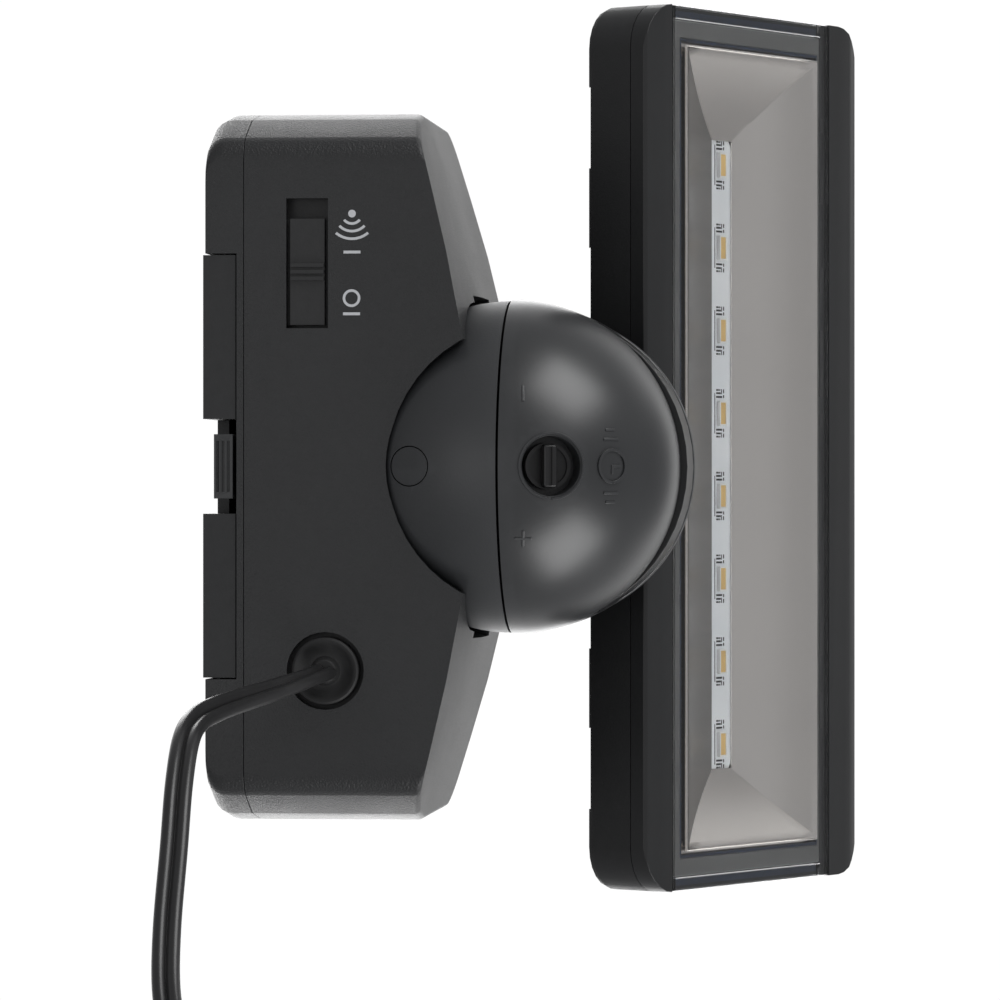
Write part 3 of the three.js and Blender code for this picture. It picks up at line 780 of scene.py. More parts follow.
class FLOODLIGHT_OT_camera_and_lead(bpy.types.Operator):
    """Adds the camera, then the twin lead with its coil and plug"""
    bl_idname = "floodlight.camera_and_lead"
    bl_label = "Camera and lead"

    def execute(self, context):
        stage = sizes().stage
        data = bpy.data.cameras.new("Camera")
        camera = bpy.data.objects.new("Camera", data)
        context.scene.collection.objects.link(camera)
        context.scene.camera = camera
        lean = stage.lean
        forward = Vector((0, math.sin(lean), math.cos(lean)))
        right = Vector((0, -math.cos(lean), math.sin(lean)))
        up = Vector((-1, 0, 0))
        aim = Vector((7.1, -63, -31.5)) * MM
        turn = Matrix((right, up, -forward)).transposed().to_4x4()
        camera.matrix_world = Matrix.Translation(aim - forward * stage.distance) @ turn
        data.sensor_width = 36
        data.lens = 36 * stage.distance / stage.scale
        data.clip_start, data.clip_end = 0.01, 60
        self.lead()
        return {"FINISHED"}

    def lead(self):
        lead = sizes().lead
        points, widths = lead_line()
        section = twin_section(lead.width, lead.core)
        shape = bmesh.new()
        rings = []
        for i, (point, across) in enumerate(zip(points, widths)):
            ahead = points[min(i + 1, len(points) - 1)] - points[max(i - 1, 0)]
            over_face = ahead.normalized().cross(across).normalized()
            rings.append([shape.verts.new(point + across * u + over_face * v) for u, v in section])
        count = len(section)
        for low, high in zip(rings, rings[1:]):
            for k in range(count):
                n = (k + 1) % count
                shape.faces.new((low[k], low[n], high[n], high[k]))
        shape.faces.new(rings[0])
        shape.faces.new(rings[-1])
        bmesh.ops.recalc_face_normals(shape, faces=shape.faces)
        obj = solid_of("twin_lead", shape)
        finish_piece(obj, "base", lead_sheath(), "cable_black",
                     "cable_lead", "cable_coil", "cable_tail", angle=60)
        tie = finer("cable_tie", "lead_tie", 0.5 * MM, 2)
        low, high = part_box("cable_tie")
        lock = box("tie_lock", (
            low.x / MM + 0.4, low.y / MM - 2.2, low.z / MM + 7),
            (high.x / MM - 0.4, low.y / MM + 0.4, low.z / MM + 13))
        soften(lock, 0.6 * MM)
        tie = joined("lead_tie", [tie, lock])
        finish_piece(tie, "base", bracket_plastic(), "tie_black", "cable_tie")
        relief = self.ribbed_relief()
        body = self.plug_body()
        barrel = self.plug_barrel()

    def ribbed_relief(self):
        low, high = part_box("plug_relief")
        centre = ((low.x + high.x) / 2, (low.y + high.y) / 2)
        wide = (high.x - low.x) / 2
        profile = [(0, low.z), (wide, low.z)]
        ribs = 5
        tall = high.z - low.z
        for i in range(ribs):
            z = low.z + tall * (i + 0.35) / ribs
            radius = wide - (wide * 0.36) * (i + 0.5) / ribs
            profile += [(radius, z), (radius - 0.5 * MM, z + tall * 0.05),
                        (radius - 0.5 * MM, z + tall * 0.11), (radius, z + tall * 0.14)]
        profile += [(wide * 0.62, high.z), (0, high.z)]
        obj = spun("plug_strain_relief", profile, centre, 32)
        soften(obj, 0.12 * MM, 1, 50)
        return finish_piece(obj, "base", rubber(), "rubber_black", "plug_relief")

    def plug_body(self):
        low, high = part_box("plug_body")
        centre = ((low.x + high.x) / 2, (low.y + high.y) / 2)
        wide = (high.x - low.x) / 2
        tall = high.z - low.z
        profile = [
            (0, low.z), (wide * 0.86, low.z), (wide * 0.92, low.z + 0.6 * MM),
            (wide * 0.92, low.z + tall * 0.16), (wide, low.z + tall * 0.2),
            (wide, high.z - tall * 0.2), (wide * 0.8, high.z), (0, high.z),
        ]
        obj = spun("plug_grip", profile, centre, 48)
        grooves = []
        for i in range(10):
            angle = 2 * math.pi * i / 10
            grooves.append(box(f"groove_{i}", (wide / MM - 0.45, -0.5, low.z / MM + 7), (
                wide / MM + 1, 0.5, high.z / MM - 6),
                Matrix.Translation((*centre, 0)) @ Matrix.Rotation(angle, 4, "Z")))
        carve(obj, *grooves)
        soften(obj, 0.2 * MM, 2, 30)
        return finish_piece(obj, "base", rubber(), "rubber_black", "plug_body")

    def plug_barrel(self):
        low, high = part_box("plug_barrel")
        centre = ((low.x + high.x) / 2, (low.y + high.y) / 2)
        wide = (high.x - low.x) / 2
        profile = [
            (0, high.z), (wide, high.z), (wide, low.z + 0.4 * MM), (wide - 0.4 * MM, low.z),
            (1.3 * MM, low.z), (1.2 * MM, low.z + 0.3 * MM), (1.2 * MM, low.z + 7 * MM),
            (0, low.z + 7 * MM),
        ]
        obj = spun("plug_barrel_tube", profile, centre, 40)
        return finish_piece(obj, "base", steel(), "nickel", "plug_barrel")


# ---------------------------------------------------------------- housing and bracket
class FLOODLIGHT_OT_housing(bpy.types.Operator):
    """Builds the battery housing: front shell, rear cover, seal and screws"""
    bl_idname = "floodlight.housing"
    bl_label = "Housing"

    def execute(self, context):
        edge = sizes().plastic.edge
        shell = finer("front_housing", "housing_shell", edge, 3)
        finish_piece(shell, "base", housing_plastic(), "housing_black", "front_housing", angle=40)
        cover = finer("rear_cover", "housing_cover", edge, 3)
        finish_piece(cover, "base", housing_plastic(), "cover_black", "rear_cover", angle=40)
        dress(rubber(), "housing_seal")
        for i in range(1, 5):
            cross_screw(f"cover_screw_{i}", "base")
        self.symbols()
        return {"FINISHED"}

    def symbols(self):
        """Printed marks by the switch: motion waves for the automatic setting, a ring for off."""
        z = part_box("front_housing")[0].z / MM
        low, high = z - 0.05, z + 0.05
        marks = [plate("dot", bent_strip((-53.2, -31.7), 0.42, 0.8, 0, 360, 20), low, high)]
        for k in range(3):
            marks.append(plate(f"wave_{k}", bent_strip(
                (-53.2, -31.7), 2.1 + 1.6 * k, 0.55, -52 + 6 * k, 52 - 6 * k, 12), low, high))
        marks.append(plate("bar", [(-45.4, -33.5), (-44.8, -33.5), (-44.8, -29.9), (-45.4, -29.9)],
                           low, high))
        marks.append(plate("ring", bent_strip((-35.4, -31.6), 1.6, 0.55, 0, 359.5, 40), low, high))
        marks.append(plate("stroke", [(-32.4, -33.4), (-31.8, -33.4), (-31.8, -29.8),
                                      (-32.4, -29.8)], low, high))
        print_piece = joined("switch_symbols", marks)
        finish_piece(print_piece, "base", print_white(), "led_board_white")


def cross_screw(node, body):
    """A pan-head screw from its CAD node, with a cross recess in its head."""
    low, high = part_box(node)
    screw = finer(node, node + "_detail")
    centre = (low + high) / 2
    if body == "head":
        axis = (HEAD_PLACE.to_3x3() @ Vector((0, 1, 0))).normalized()
    else:
        axis = Vector((0, 1, 0))
    tip = max((v.co for v in screw.data.vertices), key=lambda p: p.dot(axis)).dot(axis)
    top = centre + axis * (tip - centre.dot(axis))
    aim = axis.to_track_quat("Z", "Y").to_matrix().to_4x4()
    slots = [box(f"slot_{k}", (-1.5, -0.3, -0.9), (1.5, 0.3, 0.5),
                 Matrix.Translation(top) @ aim @ Matrix.Rotation(math.radians(90 * k), 4, "Z"))
             for k in range(2)]
    carve(screw, *slots)
    soften(screw, 0.15 * MM, 1, 50)
    return finish_piece(screw, body, steel(), "steel", node)


class FLOODLIGHT_OT_bracket(bpy.types.Operator):
    """Builds the wall bracket and its release latch"""
    bl_idname = "floodlight.bracket"
    bl_label = "Wall bracket"

    def execute(self, context):
        plate_piece = finer("wall_bracket", "bracket_plate", 0.4 * MM, 2)
        finish_piece(plate_piece, "base", bracket_plastic(), "bracket_black", "wall_bracket")
        latch = finer("release_latch", "latch_tab", 0.35 * MM, 2)
        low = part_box("release_latch")[0] / MM
        pitch = 1.15
        grooves = [box(f"grip_{i}", (-5.4, low.y + 0.6 + pitch * i, low.z - 1),
                       (5.4, low.y + pitch + pitch * i, low.z + 0.35)) for i in range(3)]
        carve(latch, *grooves)
        finish_piece(latch, "latch", moulded(
            "Latch plastic", (0.02, 0.021, 0.022), 0.42, 1800.0), "bracket_black", "release_latch")
        return {"FINISHED"}


class FLOODLIGHT_OT_switch(bpy.types.Operator):
    """Builds the slide switch's button and the parts behind it"""
    bl_idname = "floodlight.slide_switch"
    bl_label = "Slide switch"

    def execute(self, context):
        button = finer("switch_slider", "switch_button", 0.22 * MM, 2)
        finish_piece(button, "slider", moulded(
            "Switch plastic", (0.009, 0.0092, 0.0098), 0.45, 1500.0), "slider_black",
            "switch_slider")
        dress(moulded("Switch well", (0.011, 0.011, 0.0115), 0.5, 1800.0), "switch_body")
        return {"FINISHED"}


class FLOODLIGHT_OT_grommet(bpy.types.Operator):
    """Builds the rubber grommet that the lead comes out of"""
    bl_idname = "floodlight.grommet"
    bl_label = "Lead grommet"

    def execute(self, context):
        low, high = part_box("cable_grommet")
        centre = ((low.x + high.x) / 2, (low.y + high.y) / 2)
        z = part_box("front_housing")[0].z
        profile = [
            (0, high.z), (9.8 * MM, high.z), (9.8 * MM, z + 2.3 * MM), (7.15 * MM, z + 2.3 * MM),
            (7.15 * MM, z + 0.5 * MM), (7.0 * MM, z - 0.05 * MM), (6.6 * MM, z - 0.3 * MM),
            (6.1 * MM, z - 0.25 * MM), (5.6 * MM, z + 0.1 * MM), (4.9 * MM, z + 0.5 * MM),
            (4.0 * MM, z + 0.75 * MM), (3.2 * MM, z + 0.75 * MM), (2.9 * MM, z + 0.2 * MM),
            (2.7 * MM, z - 1.2 * MM), (2.3 * MM, low.z), (0, low.z),
        ]
        body = spun("grommet_body", list(reversed(profile)), centre, 64)
        soften(body, 0.15 * MM, 2, 50)
        finish_piece(body, "base", rubber(), "rubber_black", "cable_grommet")
        dress(inner_plastic(), "cable_clamp")
        return {"FINISHED"}


class FLOODLIGHT_OT_inner_parts(bpy.types.Operator):
    """Finishes the cells, boards and other parts inside the housing"""
    bl_idname = "floodlight.inner_parts"
    bl_label = "Inner parts"

    def execute(self, context):
        dress(moulded("Cell sleeve", (0.05, 0.24, 0.09), 0.3, 200.0, 0.2, 0.02, 0.1, 0.0,
                      coat=0.5), "battery_cell_1", "battery_cell_2", "battery_cell_3")
        dress(inner_plastic(), "battery_holder")
        dress(circuit_green(), "control_board", "sensor_board")
        dress(inner_plastic(), "time_trimmer")
        dress(steel(), "motion_sensor", "turret_snap_ring")
        dress(moulded("Felt", (0.02, 0.02, 0.021), 0.9, 600.0, 0.9, 0.5, 0.0, 0.1, sheen=0.3),
              "turret_felt_ring")
        return {"FINISHED"}


# ---------------------------------------------------------------- motion-sensor turret
def bowl(name, radius, top, rim=0.0):
    """Half-ball out of a rounded cube, with an upright band above it, closed by a flat top."""
    deselect()
    bpy.ops.mesh.primitive_cube_add(size=2 * radius, location=(DOME_X, DOME_Y, DOME_Z))
    obj = called(name)
    bpy.ops.object.mode_set(mode="EDIT")
    bpy.ops.mesh.select_all(action="SELECT")
    bpy.ops.mesh.subdivide(number_cuts=31)
    bpy.ops.mesh.select_all(action="SELECT")
    bpy.ops.transform.tosphere(value=1)
    bpy.ops.object.mode_set(mode="OBJECT")
    centre = Vector((DOME_X, DOME_Y, DOME_Z))
    for vertex in obj.data.vertices:
        vertex.co = centre + (vertex.co - centre).normalized() * radius
    bpy.ops.object.mode_set(mode="EDIT")
    bpy.ops.mesh.select_all(action="SELECT")
    bpy.ops.mesh.bisect(plane_co=centre, plane_no=(0, 0, 1), use_fill=True, clear_outer=True)
    bpy.ops.mesh.extrude_region_move(
        TRANSFORM_OT_translate={"value": (0, 0, top - rim - DOME_Z)})
    if rim:
        bpy.ops.mesh.extrude_region_move(TRANSFORM_OT_translate={"value": (0, 0, rim)})
        shrink = (radius - rim) / radius
        bpy.ops.transform.resize(value=(shrink, shrink, 1), center_override=(DOME_X, DOME_Y, top))
    bpy.ops.mesh.select_all(action="SELECT")
    bpy.ops.mesh.normals_make_consistent(inside=False)
    bpy.ops.object.mode_set(mode="OBJECT")
    return obj


def on_dome(tilt, turn=0.0, lift=0.0):
    """Place on the dome: tilt from straight down towards the wall, turn sideways."""
    return (Matrix.Translation((DOME_X, DOME_Y, DOME_Z))
            @ Matrix.Rotation(tilt, 4, "X") @ Matrix.Rotation(turn, 4, "Y")
            @ Matrix.Translation((0, 0, -DOME_RADIUS - lift)))


class FLOODLIGHT_OT_turret(bpy.types.Operator):
    """Builds the turret's two half shells, sensor lens, knob and moulded marks"""
    bl_idname = "floodlight.turret"
    bl_label = "Sensor turret"

    def execute(self, context):
        centre = (DOME_X, DOME_Y)
        inner = DOME_RADIUS - 2 * MM
        front = bowl("turret_front", DOME_RADIUS, DOME_TOP, 1.4 * MM)
        well_wall = disc("well_wall", 7.6, 2.0, 10, on_dome(-KNOB_TILT))
        carve(front, bowl("hollow", inner, DOME_TOP - 2 * MM))
        carve(well_wall, bowl("ball", DOME_RADIUS - 0.4 * MM, DOME_TOP - 0.5 * MM),
              operation="INTERSECT")
        carve(front, well_wall, operation="UNION")
        keep_side(front, (0, DOME_Y - SEAM, 0), (0, 1, 0))
        carve(front, disc("well", 6.3, -4, 6.7, on_dome(-KNOB_TILT)))
        carve(front, disc("well_edge", 8.6, -2, 0.85, on_dome(-KNOB_TILT), 64, 6.3))
        carve(front, disc("shaft_hole", 2.0, 5, 12, on_dome(-KNOB_TILT), 24))
        carve(front, self.lens_opening())
        carve(front, disc("axle_gap", 9.3, (DOME_TOP / MM) - 5, (DOME_TOP / MM) + 3,
                          Matrix.Translation((*centre, 0))))
        soften(front, 0.3 * MM, 3, 40)
        finish_piece(front, "turret", turret_plastic(), "turret_black", "turret_front_shell",
                     angle=30)
        self.rear(centre, inner)
        lens = finer("sensor_lens", "lens_panel", 0.2 * MM, 2, 50)
        finish_piece(lens, "turret", moulded(
            "Sensor lens", (0.006, 0.0062, 0.0068), 0.3, 800.0, 0.3, 0.03, 0.0, 0.02),
            "sensor_lens", "sensor_lens", angle=40)
        self.rims(centre)
        self.knob()
        self.marks()
        return {"FINISHED"}

    def lens_opening(self):
        """A wedge in front of the turret's axis, as tall as the lens."""
        reach = 60
        side, ahead = reach * math.sin(LENS_HALF_ANGLE), reach * math.cos(LENS_HALF_ANGLE)
        outline = [(0, 0), (-side, -ahead), (0, -reach * 1.4), (side, -ahead)]
        bottom, top = (DOME_Z / MM) + 3.5, (DOME_TOP / MM) - 4.5
        return plate("lens_opening", outline, bottom, top, Matrix.Translation((DOME_X, DOME_Y, 0)))

    def rear(self, centre, inner):
        low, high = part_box("turret_rear_shell")
        radius = (high.x - low.x) / 2
        rear = bowl("turret_rear", radius, DOME_TOP, 1.4 * MM)
        carve(rear, bowl("hollow", inner, DOME_TOP - 2 * MM))
        keep_side(rear, (0, DOME_Y + SEAM, 0), (0, -1, 0))
        plug_low, plug_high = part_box("turret_plug")
        spot = (plug_low + plug_high) / 2
        carve(rear, disc("plug_hole", 4.3, -60, -27, Matrix.Translation((spot.x, spot.y, 0)), 48))
        axle = spun("axle", [
            (0, DOME_TOP - 2 * MM), (9 * MM, DOME_TOP - 2 * MM), (9 * MM, DOME_TOP),
            (5 * MM, DOME_TOP), (5 * MM, high.z - 1.5 * MM), (4.1 * MM, high.z - 1.4 * MM),
            (4.1 * MM, high.z - 0.5 * MM), (4.9 * MM, high.z - 0.5 * MM), (4.6 * MM, high.z),
            (0, high.z)], centre, 48)
        carve(rear, axle, operation="UNION")
        soften(rear, 0.3 * MM, 3, 40)
        finish_piece(rear, "turret", turret_rear_plastic(), "turret_black", "turret_rear_shell",
                     angle=30)
        plug = finer("turret_plug", "round_plug", 0.2 * MM, 2, 40)
        finish_piece(plug, "turret", turret_rear_plastic(), "turret_black", "turret_plug", angle=30)

    def rims(self, centre):
        """The upper rim that stands out over the lens."""
        turn = Matrix.Translation((centre[0], centre[1] - RIM_FORWARD * MM, 0))
        sector = plate("rim_sector", [(0, 0), (-54, -28.7), (-54, -70), (54, -70), (54, -28.7)],
                       0, 60, Matrix.Translation((*centre, -0.02)))
        top = DOME_TOP / MM
        rim = carve(disc("lens_rims", RIM_RADIUS, top - 4.3, top, turn, 192),
                    disc("rim_inside", 34.6, top - 8, top + 4, Matrix.Translation((*centre, 0)),
                         160))
        rim = carve(rim, sector, operation="INTERSECT")
        soften(rim, 0.5 * MM, 3, 40)
        finish_piece(rim, "turret", turret_plastic(), "turret_black", angle=30)

    def knob(self):
        place = on_dome(-KNOB_TILT)
        dial = disc("timer_knob", 4.9, 3.3, 5.4, place, 72)
        carve(dial, disc("dish", 4.1, 2.6, 3.95, place, 64))
        bar = box("bar", (-4.5, -1.5, 1.1), (4.5, 1.5, 4.2), place)
        soften(bar, 0.55 * MM, 4)
        carve(dial, bar, operation="UNION")
        groove = box("groove", (-4.0, -0.35, 0.5), (4.0, 0.35, 1.45), place)
        carve(dial, groove)
        shaft = disc("shaft", 1.6, 5.2, 8.3, place, 24)
        carve(dial, shaft, operation="UNION")
        finish_piece(dial, "knob", knob_plastic(), "knob_black", "time_knob", angle=35)

    def marks(self):
        """Minus and plus by the knob, and a clock above it, all moulded a little proud."""
        parts = []
        for side, upright in ((-1, False), (1, True)):
            spot = on_dome(-SIGN_TILT, -side * SIGN_SPREAD)
            parts.append(box("dash", (-1.85, -0.3, -0.12), (1.85, 0.3, 0.3), spot))
            if upright:
                parts.append(box("stroke", (-0.3, -1.85, -0.13), (0.3, 1.85, 0.3), spot))
        clock = on_dome(-CLOCK_TILT)
        parts.append(plate("clock_rim", bent_strip((0, 0), 3.4, 0.62, 0, 359.5, 48), -0.25, 0.5,
                           clock))
        parts.append(box("hour", (-0.3, -2.1, -0.2), (0.3, 0.3, 0.5), clock))
        parts.append(box("minute", (-0.3, -0.3, -0.19), (1.7, 0.3, 0.5), clock))
        parts.append(plate("well_bead", bent_strip((0, 0), 6.9, 0.5, 0, 359.5, 64), 0.4, 1.2,
                           on_dome(-KNOB_TILT)))
        for side in (-1, 1):
            for k in range(2):
                tick = on_dome(-CLOCK_TILT, math.radians(side * (9.0 + 3.2 * k)))
                parts.append(box(f"tick_{side}_{k}", (-0.3, -1.9 + 0.7 * k, -0.2),
                                 (0.3, 1.9 - 0.7 * k, 0.4), tick))
        marks = joined("moulded_marks", parts)
        soften(marks, 0.12 * MM, 2, 50)
        finish_piece(marks, "turret", turret_plastic(), "turret_black")


# ---------------------------------------------------------------- arm and hinge
class FLOODLIGHT_OT_arm(bpy.types.Operator):
    """Builds the swivel arm and the hinge hardware"""
    bl_idname = "floodlight.arm"
    bl_label = "Swivel arm"

    def execute(self, context):
        arm = finer("swivel_arm", "arm_casting", 0.6 * MM, 3)
        finish_piece(arm, "arm", housing_plastic(), "housing_black", "swivel_arm")
        dress(rubber(), "swivel_friction_ring")
        low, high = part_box("tilt_screw")
        screw = finer("tilt_screw", "hinge_screw")
        middle = (low + high) / 2
        top = Matrix.Translation((high.x, middle.y, middle.z)) @ Matrix.Rotation(
            math.radians(90), 4, "Y")
        carve(screw, box("slot_a", (-2.6, -0.45, -1.2), (2.6, 0.45, 0.6), top),
              box("slot_b", (-0.45, -2.6, -1.2), (0.45, 2.6, 0.6), top))
        soften(screw, 0.25 * MM, 2, 50)
        finish_piece(screw, "head", steel(), "steel", "tilt_screw")
        for node in ("tilt_washer", "tilt_nut"):
            part = finer(node, node + "_detail", 0.2 * MM, 2)
            finish_piece(part, "head", steel(), "steel", node)
        return {"FINISHED"}


# ---------------------------------------------------------------- lamp head
class FLOODLIGHT_OT_head(bpy.types.Operator):
    """Builds the lamp head: rear shell, bezel, window, seal and reflector"""
    bl_idname = "floodlight.head"
    bl_label = "Lamp head"

    def execute(self, context):
        edge = sizes().plastic.edge
        shell = finer("head_rear_shell", "head_shell", edge, 3)
        finish_piece(shell, "head", head_plastic(), "head_black", "head_rear_shell", angle=40)
        for i in range(1, 5):
            cross_screw(f"head_screw_{i}", "head")
        bezel = finer("head_bezel", "head_frame", 0.35 * MM, 3)
        finish_piece(bezel, "head", bezel_plastic(), "bezel_black", "head_bezel", angle=40)
        pane = finer("window", "window_pane", 0.3 * MM, 2)
        finish_piece(pane, "head", clear("Clear acrylic", (0.965, 0.975, 0.98)), "clear_window",
                     "window")
        self.seal()
        self.reflector()
        self.painted_shade_slots()
        return {"FINISHED"}

    def seal(self):
        """Translucent seal under the window with a thin dark lip along its inner edge."""
        seal = finer("window_gasket", "window_seal", 0.3 * MM, 2)
        finish_piece(seal, "head", moulded(
            "Silicone seal", (0.1, 0.1, 0.098), 0.3, 500.0, 0.3, 0.04, 0.0, 0.0, coat=0.3),
            "rubber_black", "window_gasket")
        lips = []
        for k, (x0, x1, z0, z1) in enumerate((
                (-91.15, 91.15, 5.45, 5.9), (-91.15, 91.15, 65.1, 65.55),
                (-91.15, -90.5, 5.9, 65.1), (90.5, 91.15, 5.9, 65.1))):
            lips.append(box(f"lip_{k}", (x0, 2.35, z0), (x1, 3.2, z1), HEAD_PLACE))
        for k, side in enumerate((-1, 1)):
            inner, outer = sorted((side * 95.9, side * 97.3))
            lips.append(box(f"ledge_{k}", (inner, 3.85, 3.4), (outer, 3.98, 66.2), HEAD_PLACE))
        lip = joined("seal_lip", lips)
        finish_piece(lip, "head", moulded(
            "Seal lip", (0.012, 0.02, 0.04), 0.3, 500.0, 0.3, 0.03, 0.0, 0.0), "rubber_black")

    def painted_shade_slots(self):
        """Thin dark plates along the upper rail, seen through the window: painted shade standing in
        for the snap-fit slots.
        """
        spans = ((-76.5, -73.5), (-64.5, -57.0), (-42.2, -36.6), (-27.6, -12.4), (-8.4, -5.6),
                 (39.8, 47.4), (56.2, 64.2))
        # Painted shade: dark plates where the snap-fit slots open.
        slots = [box(f"slot_{k}", (x0, 2.16, 66.55), (x1, 2.45, 68.0), HEAD_PLACE)
                 for k, (x0, x1) in enumerate(spans)]
        piece = joined("painted_shade_slots", slots)
        soften(piece, 0.1 * MM, 1)
        finish_piece(piece, "head", knob_plastic(), "bezel_black")

    def reflector(self):
        """A metallised trough: curved long walls, flat end facets and a rolled rim."""
        shape = bmesh.new()
        lamp_low, lamp_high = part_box("led_4")
        lamps = (HEAD_PLACE.inverted() @ ((lamp_low + lamp_high) / 2)).z / MM
        steps = 14
        levels = []
        for i in range(-2, steps + 1):
            s = max(0, i) / steps
            t = s * (1.35 - 0.35 * s)
            roll = -i if i < 0 else 0
            out = (0.0, 0.45, 0.8)[roll]
            y = mixed(TROUGH["depth"], CHANNEL["depth"], t) + (0.0, -0.12, 0.1)[roll]
            low = mixed(TROUGH["low"], lamps - CHANNEL["half_width"], s) - out
            high = mixed(TROUGH["high"], lamps + CHANNEL["half_width"], s) + out
            left = mixed(-TROUGH["half_length"], CHANNEL["centre"] - CHANNEL["half_length"], s) - out
            right = mixed(TROUGH["half_length"], CHANNEL["centre"] + CHANNEL["half_length"], s) + out
            levels.append((left, right, low, high, y))
        spans = 10
        rings = []
        for left, right, low, high, y in levels:
            ring = []
            corners = ((left, low), (right, low), (right, high), (left, high))
            for k in range(4):
                (x0, z0), (x1, z1) = corners[k], corners[(k + 1) % 4]
                for m in range(spans):
                    f = m / spans
                    ring.append(shape.verts.new(
                        Vector((mixed(x0, x1, f), y, mixed(z0, z1, f))) * MM))
            rings.append(ring)
        for upper, lower in zip(rings, rings[1:]):
            for k in range(len(upper)):
                n = (k + 1) % len(upper)
                shape.faces.new((upper[k], upper[n], lower[n], lower[k]))
        obj = solid_of("reflector_trough", shape, HEAD_PLACE)
        apply_modifier(obj, "SOLIDIFY", thickness=0.35 * MM, offset=1.0)
        flange = carve(
            box("flange", (-92.7, 4.0, 3.4), (92.7, 4.6, 65.8), HEAD_PLACE),
            box("opening", (-88.6, 3.5, 9.2), (88.6, 5.2, 64.2), HEAD_PLACE))
        obj = joined("reflector_trough", [obj, flange])
        # The lower long wall's faces are marked for the painted shade in the reflector's finish.
        shaded_wall = obj.data.attributes.new(PAINTED_SHADE_WALL, "FLOAT", "FACE")
        upward = HEAD_PLACE.to_3x3() @ Vector((0, 0, 1))
        for face in obj.data.polygons:
            shaded_wall.data[face.index].value = 1.0 if face.normal.dot(upward) > 0.15 else 0.0
        finish_piece(obj, "head", mirror_coat("Metallised reflector"), "reflector_metal",
                     "reflector", angle=22)


class FLOODLIGHT_OT_leds(bpy.types.Operator):
    """Builds the LED board with its printed marks, and one LED copied along it"""
    bl_idname = "floodlight.leds"
    bl_label = "LED strip"

    def execute(self, context):
        board = finer("led_board", "strip_board", 0.15 * MM, 1)
        finish_piece(board, "head", moulded(
            "White solder mask", (0.83, 0.87, 0.91), 0.38, 700.0, 0.2, 0.02, 0.0, 0.0),
            "led_board_white", "led_board")
        count = sizes().stage.lamps
        places = []
        for i in range(1, count + 1):
            low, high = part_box(f"led_{i}")
            places.append((low + high) / 2)
        first = self.led_body()
        glow = self.phosphor()
        for i, place in enumerate(places, 1):
            move = Matrix.Translation(place) @ Matrix.Rotation(HEAD_TILT, 4, "X")
            for source, name, look, slot, nodes in (
                    (first, f"led_body_{i}", self.white(), "led", (f"led_{i}",)),
                    (glow, f"led_phosphor_{i}", self.yellow(), "led", ())):
                obj = source.copy()
                obj.data = source.data.copy()
                obj.name = name
                obj.data.name = name
                context.scene.collection.objects.link(obj)
                obj.data.transform(move)
                finish_piece(obj, "head", look, slot, *nodes)
        bpy.data.objects.remove(first)
        bpy.data.objects.remove(glow)
        self.prints(places)
        return {"FINISHED"}

    def white(self):
        return moulded("LED body", (0.86, 0.86, 0.84), 0.4, 900.0, 0.2, 0.02, 0.0, 0.0)

    def yellow(self):
        return moulded("LED phosphor", (0.68, 0.46, 0.18), 0.5, 1500.0, 0.5, 0.08, 0.0, 0.0)

    def led_body(self):
        body = box("led_body", (-2.85, -0.45, -1.5), (2.85, 0.45, 1.5))
        activate(body)
        bpy.ops.object.mode_set(mode="EDIT")
        bpy.ops.mesh.select_all(action="DESELECT")
        bpy.ops.object.mode_set(mode="OBJECT")
        for face in body.data.polygons:
            face.select = face.normal.y < -0.9
        bpy.ops.object.mode_set(mode="EDIT")
        bpy.ops.mesh.inset(thickness=0.36 * MM)
        bpy.ops.mesh.extrude_region_move(TRANSFORM_OT_translate={"value": (0, 0.25 * MM, 0)})
        bpy.ops.object.mode_set(mode="OBJECT")
        return soften(body, 0.08 * MM, 1)

    def phosphor(self):
        gel = box("phosphor", (-2.45, -0.36, -1.1), (2.45, -0.05, 1.1))
        return soften(gel, 0.16 * MM, 3)

    def prints(self, places):
        """Short printed lines round each LED, and solder pads beside it."""
        y = 10 - 0.02
        lines = []
        inverse = HEAD_PLACE.inverted()
        for k, place in enumerate(places):
            spot = inverse @ place
            x, z = spot.x / MM, spot.z / MM
            lines.append(box(f"line_{k}", (x - 4.6, y, z - 2.45), (x + 4.6, y + 0.05, z - 2.15),
                             HEAD_PLACE))
            for side in (-1, 1):
                for m, (a, b, low, high) in enumerate((
                        (3.5, 3.95, -1.7, 0.9), (4.35, 4.8, -1.7, 0.3), (5.1, 5.5, -1.7, -0.6),
                        (3.5, 4.2, 1.3, 1.75), (4.6, 5.5, 1.3, 1.75), (4.35, 5.5, 0.45, 0.8),
                        (5.1, 5.5, -0.4, 0.1))):
                    x0, x1 = sorted((x + side * a, x + side * b))
                    lines.append(box(f"tick_{k}_{side}_{m}", (x0, y, z + low),
                                     (x1, y + 0.05, z + high), HEAD_PLACE))
        piece = joined("board_prints", lines)
        finish_piece(piece, "head", moulded(
            "Board ink", (0.02, 0.02, 0.022), 0.6, 900.0, 0.2, 0.02, 0.0, 0.0), "led_board_white")


# ---------------------------------------------------------------- stage
def area_light(name, place, aim, size, power, colour=(1, 1, 1)):
    data = bpy.data.lights.new(name, "AREA")
    data.shape = "SQUARE"
    data.size = size
    data.energy = power
    data.color = colour
    obj = bpy.data.objects.new(name, data)
    bpy.context.scene.collection.objects.link(obj)
    obj.location = place
    obj.rotation_mode = "QUATERNION"
    obj.rotation_quaternion = (Vector(aim) - Vector(place)).to_track_quat("-Z", "Y")
    obj.visible_camera = False
    return obj


